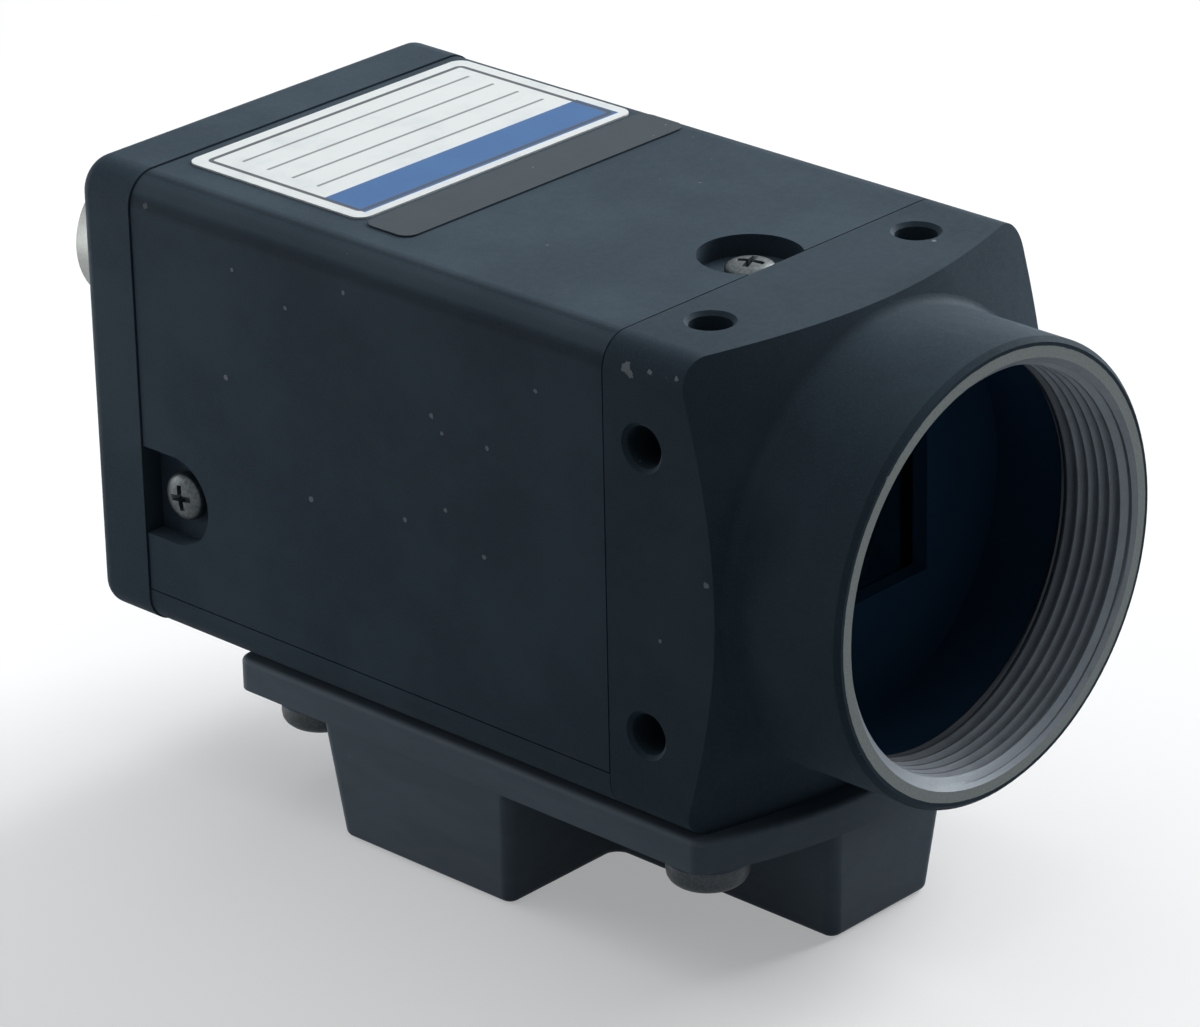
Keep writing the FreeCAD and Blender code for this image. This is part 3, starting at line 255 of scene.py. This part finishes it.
def sheet_coating_painted_edge_sheen(name, chips=()):
    """The coating over sheet metal, with painted dark reflection lines at each side of the long bends and a
    painted highlight band between them.
    """
    g, paint, rough, normal = coated_metal(name, chips)
    bend = g.math("GREATER_THAN", g.z, 10.0 * MM)
    sideways = g.math("ABSOLUTE", g.nx)
    upper = g.band(g.nz, 0.93, 0.985, 0.015)
    lower = g.band(g.nz, 0.10, 0.42, 0.08)
    # painted reflection: dark lines at both edges of each long top bend, picked by the way the surface
    # faces
    painted_dark_edge_lines = g.both(bend, g.either(upper, lower), g.math("GREATER_THAN", sideways, 0.08))
    paint = g.mix(g.math("MULTIPLY", painted_dark_edge_lines, 0.42), paint, (0.012, 0.018, 0.024))
    # painted highlight: a lighter band along the middle of each long top bend
    middle = g.both(bend, g.band(g.nz, 0.52, 0.88, 0.06), g.math("GREATER_THAN", sideways, 0.3))
    paint = g.mix(g.math("MULTIPLY", middle, 0.30), paint, (0.10, 0.13, 0.155))
    return g.set(Base_Color=paint, Roughness=rough, Normal=normal, Specular_IOR_Level=0.05)


def housing_coating(name, chips=()):
    """The coating, with a bare worn rim and a dull black bore inside the collar, whose black is lifted to a
    dull blue as painted light.
    """
    g, paint, rough, normal = coated_metal(name, chips, (0.027, 0.042, 0.056), (0.036, 0.055, 0.072))
    across = g.radius(g.x, g.z)
    wear = g.math("MULTIPLY", g.noise(1.1, 4.0, 0.7, seed=0.08), 0.12 * MM)
    rim = g.both(g.math("GREATER_THAN", across, MOUTH_R - 0.03 * MM),
                 g.math("LESS_THAN", across, g.math("ADD", wear, RIM_R - 0.06 * MM)),
                 g.math("LESS_THAN", g.y, 0.06 * MM))
    bore = g.both(g.math("LESS_THAN", across, MOUTH_R - 0.03 * MM), g.math("GREATER_THAN", g.y, THREAD_END))
    streak = g.noise(6.0, 3.0, 0.65, stretch=(1, 30, 1))
    bright = g.mix(streak, (0.120, 0.140, 0.142), (0.235, 0.260, 0.255))
    # the bore's matt black paint, painted lighter and bluer to stand in for light inside the bore
    colour = g.mix(bore, paint, (0.014, 0.042, 0.082))
    colour = g.mix(rim, colour, bright)
    rough = g.blend(rim, rough, 0.45)
    rough = g.blend(bore, rough, 0.75)
    return g.set(Base_Color=colour, Metallic=g.math("MULTIPLY", rim, 0.5), Roughness=rough, Normal=normal,
                 Specular_IOR_Level=0.05)


def turned_thread():
    """Bare metal in the lens thread, going dull and dark towards its inner end."""
    g = Graph("turned_thread")
    streak = g.noise(5.0, 3.0, 0.7, stretch=(1, 14, 1))
    stain = g.noise(0.5, 4.0, 0.6, seed=0.06)
    deep = g.rise(g.y, THREAD_END - 1.2 * MM, THREAD_END + 0.1 * MM)
    metal = g.mix(streak, (0.115, 0.136, 0.160), (0.225, 0.262, 0.295))
    metal = g.mix(g.math("MULTIPLY", g.rise(stain, 0.45, 0.75), 0.4), metal, (0.08, 0.098, 0.118))
    colour = g.mix(deep, metal, (0.010, 0.017, 0.027))
    return g.set(Base_Color=colour, Metallic=g.blend(deep, 0.35, 0.1), Roughness=g.blend(stain, 0.48, 0.58),
                 Normal=g.bump(streak, 0.004 * MM, 0.6))


def moulded_plastic():
    """Black glass-filled plastic: a fine spark-eroded texture and faint flow marks."""
    g = Graph("moulded_black_plastic")
    flow = g.noise(0.25, 4.0, 0.6, stretch=(1, 0.4, 1.6))
    pits = g.noise(6.5, 2.0, 0.7)
    dust = g.dots(1.1, 0.14, 0.16)
    colour = g.mix(g.rise(flow, 0.35, 0.7), (0.082, 0.108, 0.134), (0.108, 0.138, 0.168))
    colour = g.mix(g.math("MULTIPLY", dust, 0.2), colour, (0.20, 0.22, 0.23))
    rough = g.blend(g.rise(flow, 0.3, 0.7), 0.55, 0.65)
    return g.set(Base_Color=colour, Roughness=rough, Specular_IOR_Level=0.15,
                 Normal=g.bump(pits, 0.02 * MM, 0.55))


def worked_metal(name, dark, light, roughness, metallic=1.0, per_mm=5.0, stretch=(1, 1, 1)):
    """Turned, plated or blackened metal with fine uneven streaks."""
    g = Graph(name)
    streak = g.noise(per_mm, 3.0, 0.6, stretch=stretch)
    stain = g.noise(0.4, 3.0, 0.6, seed=0.02)
    colour = g.mix(g.rise(streak, 0.35, 0.7), dark, light)
    colour = g.mix(g.math("MULTIPLY", g.rise(stain, 0.5, 0.8), 0.3), colour, dark)
    rough = g.blend(g.rise(stain, 0.3, 0.7), roughness, roughness + 0.12)
    return g.set(Base_Color=colour, Roughness=rough, Metallic=metallic,
                 Normal=g.bump(streak, 0.004 * MM, 0.5))


def soft_solid(name, dark, light, roughness, per_mm=3.0, depth=0.01):
    """Rubber, foam, moulded packages and insulators: a speckled matt surface."""
    g = Graph(name)
    mottle = g.noise(per_mm, 3.0, 0.65)
    return g.set(Base_Color=g.mix(g.rise(mottle, 0.3, 0.7), dark, light),
                 Roughness=g.blend(mottle, roughness, roughness + 0.1),
                 Normal=g.bump(mottle, depth * MM, 0.6))


def clear_glass(name, tint, roughness=0.02):
    g = Graph(name)
    smear = g.noise(0.6, 3.0, 0.6)
    return g.set(Base_Color=g.mix(smear, tint, tuple(min(1.0, c * 1.08) for c in tint)),
                 Roughness=g.blend(g.rise(smear, 0.45, 0.8), roughness, roughness + 0.05),
                 Transmission_Weight=1.0, IOR=1.5)


def circuit_board(name, turn):
    """Green solder mask with copper runs under it and a bare edge."""
    g = Graph(name)
    wave = g.tree.nodes.new("ShaderNodeTexWave")
    wave.bands_direction = "X" if turn else "Z"
    wave.inputs["Scale"].default_value = 0.42 / MM
    wave.inputs["Distortion"].default_value = 2.5
    wave.inputs["Detail"].default_value = 1.0
    g.link(g.place, wave.inputs["Vector"])
    runs = g.rise(wave.outputs["Fac"], 0.62, 0.70)
    colour = g.mix(runs, (0.008, 0.060, 0.026), (0.018, 0.130, 0.050))
    pads = g.dots(0.45, 0.75, 0.22)
    colour = g.mix(pads, colour, (0.55, 0.53, 0.48))
    edge = g.math("LESS_THAN", g.math("ABSOLUTE", g.ny), 0.5)
    colour = g.mix(edge, colour, (0.20, 0.17, 0.07))
    rough = g.blend(pads, 0.32, 0.25)
    return g.set(Base_Color=colour, Roughness=rough, Normal=g.bump(runs, 0.03 * MM, 0.5))


def rounded_box(g, low, high, inset, corner):
    """Distance outside a rectangle with rounded corners, seen from above: below 0 is inside."""
    middle = [(a + b) / 2 for a, b in zip(low, high)]
    half = [(b - a) / 2 - inset - corner for a, b in zip(low, high)]
    sides = []
    for value, mid, size in zip((g.x, g.y), middle, half):
        away = g.math("ABSOLUTE", g.math("SUBTRACT", value, mid))
        sides.append(g.math("MAXIMUM", g.math("SUBTRACT", away, size), 0.0))
    return g.math("SUBTRACT", g.radius(*sides), corner)


def white_label():
    """A white film label: a thin dark rule round it, a blue band and blank ruled lines."""
    g = Graph("label_white_film")
    low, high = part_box("white_label")
    fibre = g.noise(5.0, 3.0, 0.6)
    stain = g.noise(0.35, 4.0, 0.6)
    white = g.mix(g.rise(stain, 0.45, 0.8), (0.76, 0.80, 0.80), (0.66, 0.71, 0.72))
    inside = rounded_box(g, low, high, 0.85 * MM, 0.5 * MM)
    rule = g.band(inside, -0.32 * MM, 0.0, 0.03 * MM)
    x_in = (low.x + 1.0 * MM, high.x - 0.75 * MM)
    blue = g.both(g.band(g.x, *x_in, 0.03 * MM),
                  g.band(g.y, low.y + 0.65 * MM, low.y + 4.2 * MM, 0.03 * MM))
    lines = None
    for step in range(4):
        middle = low.y + (5.9 + 2.15 * step) * MM
        line = g.both(g.band(g.y, middle - 0.11 * MM, middle + 0.11 * MM, 0.03 * MM),
                      g.band(g.x, low.x + 2.2 * MM, high.x - 2.0 * MM, 0.03 * MM))
        lines = line if lines is None else g.either(lines, line)
    colour = g.mix(blue, white, g.mix(stain, (0.022, 0.105, 0.290), (0.030, 0.135, 0.345)))
    colour = g.mix(g.math("MULTIPLY", lines, 0.75), colour, (0.05, 0.06, 0.08))
    colour = g.mix(g.math("MULTIPLY", rule, 0.95), colour, (0.035, 0.045, 0.06))
    return g.set(Base_Color=colour, Roughness=g.blend(fibre, 0.40, 0.50), Specular_IOR_Level=0.25,
                 Normal=g.bump(fibre, 0.003 * MM, 0.5))


def dark_strip():
    """A bare strip of dark grey film beside the label."""
    g = Graph("strip_dark_film")
    fibre = g.noise(6.0, 3.0, 0.6)
    stain = g.noise(0.5, 4.0, 0.6)
    colour = g.mix(stain, (0.036, 0.050, 0.061), (0.050, 0.067, 0.080))
    colour = g.mix(g.math("MULTIPLY", g.dots(1.6, 0.15, 0.12), 0.5), colour, (0.3, 0.32, 0.33))
    return g.set(Base_Color=colour, Roughness=g.blend(fibre, 0.48, 0.58), Specular_IOR_Level=0.1,
                 Normal=g.bump(fibre, 0.003 * MM, 0.5))


side_chips = [(-15.0, y, z, radius) for y, z, radius in CHIPS]
edge_chips = [(-14.6, 10.2, 14.7, 0.28), (-9.7, 0.0, 9.3, 0.26), (8.5, 12.0, 15.0, 0.14)]
coating = plain_coating("coated_metal")
cover_coating = sheet_coating_painted_edge_sheen("coated_sheet_painted_edge_sheen", side_chips[HOUSING_CHIPS:])
front_coating = housing_coating("coated_metal_front", side_chips[:HOUSING_CHIPS] + edge_chips)
black_steel = worked_metal("blackened_steel", (0.030, 0.038, 0.045), (0.060, 0.072, 0.082), 0.42, 0.4)
grey_steel = worked_metal("worn_grey_steel", (0.045, 0.055, 0.060), (0.095, 0.110, 0.115), 0.38, 0.6)
thread_metal = turned_thread()
zinc_steel = worked_metal("zinc_steel", (0.34, 0.35, 0.36), (0.52, 0.53, 0.54), 0.3)
nickel = worked_metal("satin_nickel", (0.20, 0.21, 0.20), (0.30, 0.31, 0.30), 0.42, stretch=(1, 12, 1))
plated_brass = worked_metal("plated_brass", (0.46, 0.44, 0.37), (0.60, 0.58, 0.50), 0.3)
turned_brass = worked_metal("turned_brass", (0.40, 0.30, 0.13), (0.56, 0.43, 0.20), 0.32, stretch=(1, 1, 8))
gold = worked_metal("gold_plate", (0.62, 0.44, 0.14), (0.78, 0.58, 0.22), 0.22)
can_metal = worked_metal("drawn_aluminium", (0.46, 0.47, 0.48), (0.62, 0.63, 0.64), 0.3, stretch=(1, 6, 1))
silicon = worked_metal("polished_silicon", (0.10, 0.07, 0.13), (0.16, 0.13, 0.20), 0.12, 0.9, per_mm=14.0)
plastic = moulded_plastic()
insulator = soft_solid("black_insulator", (0.010, 0.011, 0.012), (0.020, 0.021, 0.022), 0.42)
foam = soft_solid("black_foam", (0.008, 0.022, 0.042), (0.014, 0.036, 0.066), 0.8, 4.0, 0.05)
ceramic = soft_solid("grey_ceramic", (0.075, 0.070, 0.068), (0.11, 0.105, 0.10), 0.5, 5.0)
package = soft_solid("moulded_package", (0.012, 0.012, 0.013), (0.022, 0.022, 0.024), 0.5, 7.0)
filter_tint = clear_glass("infrared_filter", (0.32, 0.66, 0.80))
cover_glass = clear_glass("sensor_cover_glass", (0.90, 0.95, 0.95))

FINISHES = {
    "front_housing": front_coating, "cover": cover_coating, "chassis": coating,
    "chassis_screws": black_steel, "cover_screws": grey_steel, "adapter_screws": black_steel,
    "mount_adapter": plastic, "tripod_insert": turned_brass,
    "filter_glass": filter_tint, "sensor_glass": cover_glass, "dust_gasket": foam,
    "sensor_package": ceramic, "sensor_die": silicon,
    "sensor_board": circuit_board("board_sensor", True),
    "process_board": circuit_board("board_process", False),
    "power_board": circuit_board("board_power", True),
    "connector_board": circuit_board("board_connector", False),
    "board_standoffs": plated_brass, "board_screws": zinc_steel, "board_headers": insulator,
    "image_processor": package, "memory_chips": package, "power_coils": package,
    "power_capacitors": can_metal,
    "connector_shell": nickel, "connector_nut": nickel, "connector_insert": insulator,
    "connector_contacts": gold, "white_label": white_label(), "dark_strip": dark_strip(),
}
for name, node in nodes.items():
    node.data.materials.clear()
    node.data.materials.append(FINISHES[name])


# --- pieces ---------------------------------------------------------------
def mesh_object(name, points, faces, finish, smooth=True):
    mesh = bpy.data.meshes.new(name)
    mesh.from_pydata([tuple(p) for p in points], [], faces)
    mesh.update()
    thing = bpy.data.objects.new(name, mesh)
    bpy.context.scene.collection.objects.link(thing)
    mesh.materials.append(finish)
    for polygon in mesh.polygons:
        polygon.use_smooth = smooth
    return thing


def lathe(name, profile, finish, turns=96, closed=False):
    """Turn (radius, height) points round the Z axis, capping ends that reach radius 0."""
    points, rows, faces = [], [], []
    for radius, height in profile:
        if radius <= 0:
            rows.append([len(points)])
            points.append((0, 0, height))
            continue
        rows.append(list(range(len(points), len(points) + turns)))
        for step in range(turns):
            angle = math.tau * step / turns
            points.append((radius * math.cos(angle), radius * math.sin(angle), height))
    for low, high in zip(rows, rows[1:] + (rows[:1] if closed else [])):
        for step in range(turns):
            after = (step + 1) % turns
            ring = [low[step % len(low)], low[after % len(low)],
                    high[after % len(high)], high[step % len(high)]]
            ring = [v for n, v in enumerate(ring) if v not in ring[:n]]
            if len(ring) > 2:
                faces.append(ring)
    return mesh_object(name, points, faces, finish)


def join(name, things):
    """One object from several, with their places applied."""
    whole = bmesh.new()
    for thing in things:
        part = thing.data.copy()
        part.transform(thing.matrix_world)
        whole.from_mesh(part)
        bpy.data.meshes.remove(part)
    mesh = bpy.data.meshes.new(name)
    whole.to_mesh(mesh)
    whole.free()
    for material in things[0].data.materials:
        mesh.materials.append(material)
    for thing in things:
        bpy.data.objects.remove(thing)
    joined = bpy.data.objects.new(name, mesh)
    bpy.context.scene.collection.objects.link(joined)
    return joined


def apply_modifiers(thing):
    graph = bpy.context.evaluated_depsgraph_get()
    mesh = bpy.data.meshes.new_from_object(thing.evaluated_get(graph))
    thing.modifiers.clear()
    thing.data = mesh
    return thing


def sharpen(thing, degrees=35):
    """Smooth shading with the sharp edges kept."""
    for polygon in thing.data.polygons:
        polygon.use_smooth = True
    shape = bmesh.new()
    shape.from_mesh(thing.data)
    for edge in shape.edges:
        edge.smooth = len(edge.link_faces) == 2 and edge.calc_face_angle(0) < math.radians(degrees)
    shape.to_mesh(thing.data)
    shape.free()


def cross_cutter(size, deep):
    """A tapered cross, as a cross-point driver leaves it, with its mouth at z = 0."""
    wide, narrow, low = size, size * 0.22, size * 0.62
    whole = bmesh.new()
    for swap in (False, True):
        for level, shrink in ((deep * 0.15, 1.0), (-deep, low / wide)):
            for sx, sy in ((-1, -1), (1, -1), (1, 1), (-1, 1)):
                x, y = sx * wide * shrink, sy * narrow * (0.5 + 0.5 * shrink)
                whole.verts.new((y, x, level) if swap else (x, y, level))
    whole.verts.ensure_lookup_table()
    for start in (0, 8):
        v = [whole.verts[start + n] for n in range(8)]
        whole.faces.new(v[:4])
        whole.faces.new(v[4:])
        for n in range(4):
            whole.faces.new((v[n], v[(n + 1) % 4], v[4 + (n + 1) % 4], v[4 + n]))
    bmesh.ops.recalc_face_normals(whole, faces=whole.faces)
    mesh = bpy.data.meshes.new("cutter")
    whole.to_mesh(mesh)
    whole.free()
    cutter = bpy.data.objects.new("cutter", mesh)
    bpy.context.scene.collection.objects.link(cutter)
    return cutter


def pan_head(name, radius, high, finish, seat, way, turn):
    """A pan-head screw's head with a cross recess, seated at a point and facing a way."""
    rim, shank = high * 0.42, radius * 0.45
    crown_steps = 8
    profile = [(0.0, high)]
    for n in range(1, crown_steps):
        angle = math.radians(90) * n / crown_steps
        profile.append((radius * math.sin(angle) ** 0.85, rim + (high - rim) * math.cos(angle) ** 0.8))
    profile += [(radius, rim), (radius, high * 0.10), (radius * 0.96, 0.0),
                (shank, 0.0), (shank, -high * 0.3), (0.0, -high * 0.3)]
    head = lathe(name, profile, finish, 64)
    flat = bmesh.new()
    flat.from_mesh(head.data)
    bmesh.ops.recalc_face_normals(flat, faces=flat.faces)
    flat.to_mesh(head.data)
    flat.free()
    cutter = cross_cutter(radius * 0.60, high * 0.55)
    cutter.location = (0, 0, high)
    bpy.context.view_layer.update()
    carve = head.modifiers.new("recess", "BOOLEAN")
    carve.operation = "DIFFERENCE"
    carve.solver = "EXACT"
    carve.use_self = True
    carve.object = cutter
    apply_modifiers(head)
    bpy.data.objects.remove(cutter)
    sharpen(head)
    upright = Vector(way).to_track_quat("Z", "Y").to_matrix().to_4x4()
    head.matrix_world = Matrix.Translation(seat) @ upright @ Matrix.Rotation(math.radians(turn), 4, "Z")
    bpy.context.view_layer.update()
    return head


def finish_piece(piece, *replaced):
    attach(piece, "root")
    if replaced:
        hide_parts(*replaced)
    return piece


def make_cover_screws():
    low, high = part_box("cover_screws")
    top = (0, low.y + SMALL_HEAD_R, high.z - SMALL_HEAD_HIGH)
    side_y, side_z = high.y - SMALL_HEAD_R, low.z + SMALL_HEAD_R
    side_x = high.x - SMALL_HEAD_HIGH
    spots = ((top, (0, 0, 1), 20),
             ((side_x, side_y, side_z), (1, 0, 0), 52),
             ((-side_x, side_y, side_z), (-1, 0, 0), 8))
    heads = [pan_head("head", SMALL_HEAD_R, SMALL_HEAD_HIGH, grey_steel, *spot) for spot in spots]
    finish_piece(join("cover_screw_heads", heads), "cover_screws")


def make_adapter_screws():
    low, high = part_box("adapter_screws")
    x = high.x - PAN_HEAD_R
    heads = []
    for side in (-1, 1):
        for y in (low.y + PAN_HEAD_R, high.y - PAN_HEAD_R):
            seat = (x * side, y, low.z + PAN_HEAD_HIGH)
            turn = 31 * side + y / MM
            heads.append(pan_head("head", PAN_HEAD_R, PAN_HEAD_HIGH, black_steel, seat, (0, 0, -1), turn))
    finish_piece(join("adapter_screw_heads", heads), "adapter_screws")


# one turn of the thread's groove: shares of a pitch, and shares of its depth there
GROOVE = ((0.0, 0.0), (0.08, 0.0), (0.16, 0.0), (0.32, 0.5),
          (0.48, 1.0), (0.56, 1.0), (0.64, 1.0), (0.82, 0.5))


def rim_radius(points, angle):
    """Distance from the lens axis to a ring of straight edges, at one angle."""
    turned = sorted((math.atan2(p.z, p.x) % math.tau, math.hypot(p.x, p.z)) for p in points)
    before, after = turned[-1], turned[0]
    turned = [(before[0] - math.tau, before[1])] + turned + [(after[0] + math.tau, after[1])]
    for (a, ra), (b, rb) in zip(turned, turned[1:]):
        if a <= angle <= b:
            area = ra * rb * math.sin(b - a)
            return area / (ra * math.sin(angle - a) + rb * math.sin(b - angle))
    return turned[0][1]


def make_lens_thread(turns=240):
    """The housing with its plain thread wall taken out and a cut 32-to-the-inch thread put in."""
    housing = nodes["front_housing"]
    shell = bpy.data.objects.new("threaded_front_housing", housing.data.copy())
    bpy.context.scene.collection.objects.link(shell)
    shell.matrix_world = housing.matrix_world
    shape = bmesh.new()
    shape.from_mesh(shell.data)
    slack = 0.02 * MM

    def on_wall(vert):
        across = math.hypot(vert.co.x, vert.co.z)
        return across < MOUTH_R + slack and -slack < vert.co.y < RELIEF_START + slack

    def ring_at(radius, y):
        return [v.co.copy() for v in shape.verts if abs(v.co.y - y) < slack
                and abs(math.hypot(v.co.x, v.co.z) - radius) < slack]

    mouth, relief = ring_at(MOUTH_R, 0.0), ring_at(RELIEF_R, RELIEF_START)
    wall = [face for face in shape.faces if all(on_wall(v) for v in face.verts)]
    bmesh.ops.delete(shape, geom=wall, context="FACES")
    shape.to_mesh(shell.data)
    shape.free()
    finish_piece(shell, "front_housing")

    grid = bmesh.new()
    rows = []
    pitches = int(RELIEF_START / THREAD_PITCH) + 3
    for level in range(-1, pitches):
        for share, deep in GROOVE:
            row = []
            for step in range(turns + 1):
                angle = math.tau * step / turns
                y = (level + share + step / turns) * THREAD_PITCH
                y = min(max(y, 0.0), RELIEF_START)
                wall_r = max(THREAD_R, MOUTH_R - y, THREAD_R + y - THREAD_END)
                fade = min(1.0, max(0.0, (THREAD_END + THREAD_RUN_OUT - y) / THREAD_PITCH))
                radius = max(wall_r, THREAD_R + deep * fade * THREAD_DEEP)
                if y == 0.0:
                    radius = rim_radius(mouth, angle % math.tau)
                elif y == RELIEF_START:
                    radius = rim_radius(relief, angle % math.tau)
                row.append(grid.verts.new((radius * math.cos(angle), y, radius * math.sin(angle))))
            rows.append(row)
    for low, high in zip(rows, rows[1:]):
        for a, b, c, d in zip(low, low[1:], high[1:], high):
            grid.faces.new((a, b, c, d))
    bmesh.ops.remove_doubles(grid, verts=grid.verts, dist=0.002 * MM)
    mesh = bpy.data.meshes.new("lens_thread")
    grid.to_mesh(mesh)
    grid.free()
    mesh.materials.append(thread_metal)
    thread = bpy.data.objects.new("lens_thread", mesh)
    bpy.context.scene.collection.objects.link(thread)
    sharpen(thread, 24)
    finish_piece(thread)


make_cover_screws()
make_adapter_screws()
make_lens_thread()

# --- camera, light and floor ----------------------------------------------
FOCAL_IN_WIDTHS = 5745.17 / 1200  # of the picture
camera_data = bpy.data.cameras.new("camera")
camera = bpy.data.objects.new("camera", camera_data)
bpy.context.scene.collection.objects.link(camera)
right = Vector((0.68019, -0.73280, -0.01868))
down = Vector((-0.31320, -0.26749, -0.91124))
ahead = Vector((0.66276, 0.62566, -0.41146))
turned = Matrix((right, -down, -ahead)).transposed().to_4x4()
camera.matrix_world = Matrix.Translation(Vector((-232.494, -188.214, 139.092)) * MM) @ turned
camera_data.sensor_width = 36
camera_data.lens = camera_data.sensor_width * FOCAL_IN_WIDTHS
camera_data.clip_start = 0.01
bpy.context.scene.camera = camera

FLOOR_REACH, FLOOR_GAP = 6.0, 0.02 * MM
floor_z = cad_box[0][2] - FLOOR_GAP
corners = [(x * FLOOR_REACH, y * FLOOR_REACH, floor_z) for x, y in ((-1, -1), (1, -1), (1, 1), (-1, 1))]
floor = mesh_object("floor", corners, [(0, 1, 2, 3)], None, smooth=False)


def seen_rays(tree):
    """1 for camera, mirror and glass rays, which show the pale background."""
    rays = tree.nodes.new("ShaderNodeLightPath")
    total = rays.outputs["Is Camera Ray"]
    for name in ("Is Glossy Ray", "Is Transmission Ray"):
        node = tree.nodes.new("ShaderNodeMath")
        node.operation = "MAXIMUM"
        tree.links.new(total, node.inputs[0])
        tree.links.new(rays.outputs[name], node.inputs[1])
        total = node.outputs[0]
    return total


floor_look = Graph("pale_floor")
mottle = floor_look.noise(0.02, 2.0)
seen = seen_rays(floor_look.tree)
pale = floor_look.mix(mottle, (0.93, 0.94, 0.95), (0.96, 0.965, 0.97))
floor_look.set(Base_Color=floor_look.mix(seen, (0.20, 0.23, 0.25), pale), Roughness=0.8,
               Specular_IOR_Level=0.1)
# The floor glows pale to the camera and in reflections, at full share from 0.45 m out and at a 0.35 share
# near the object, so the glow lightens the object's shadow there.
glow = floor_look.tree.nodes.new("ShaderNodeEmission")
floor_look.link(pale, glow.inputs["Color"])
distance = floor_look.radius(floor_look.x, floor_look.y)
shadow_lifting_glow = floor_look.blend(floor_look.rise(distance, 0.10, 0.45), 0.35, 1.0)
fade = floor_look.tree.nodes.new("ShaderNodeMixShader")
floor_look.link(floor_look.both(seen, shadow_lifting_glow), fade.inputs[0])
floor_look.link(floor_look.shader.outputs[0], fade.inputs[1])
floor_look.link(glow.outputs[0], fade.inputs[2])
floor_look.link(fade.outputs[0], floor_look.output.inputs["Surface"])
floor.data.materials.clear()
floor.data.materials.append(floor_look.material)


def area_light(name, place, aim, size, power):
    data = bpy.data.lights.new(name, "AREA")
    data.shape = "RECTANGLE"
    data.size, data.size_y = size
    data.energy = power
    lamp = bpy.data.objects.new(name, data)
    bpy.context.scene.collection.objects.link(lamp)
    lamp.location = place
    lamp.visible_camera = False
    lamp.rotation_euler = (Vector(aim) - Vector(place)).to_track_quat("-Z", "Y").to_euler()
    return lamp


area_light("overhead", (0.10, 0.14, 0.95), (0, 0.03, 0), (1.3, 1.3), 5.5)
area_light("right", (0.78, 0.01, 0.38), (0, 0.02, 0), (0.6, 0.6), 10.3)
area_light("left_rear", (-0.046, 0.155, -0.002), (-0.015, 0.055, 0), (0.10, 0.06), 0.080)
world = bpy.data.worlds.new("studio")
bpy.context.scene.world = world
world.use_nodes = True
sky = world.node_tree.nodes.new("ShaderNodeMix")
sky.data_type = "RGBA"
world.node_tree.links.new(seen_rays(world.node_tree), sky.inputs["Factor"])
dim, bright = [socket for socket in sky.inputs if socket.type == "RGBA"]
dim.default_value, bright.default_value = (0.075, 0.081, 0.085, 1), (0.94, 0.95, 0.96, 1)
world.node_tree.links.new(next(socket for socket in sky.outputs if socket.type == "RGBA"),
                          world.node_tree.nodes["Background"].inputs["Color"])
bpy.context.scene.view_settings.view_transform = "Standard"
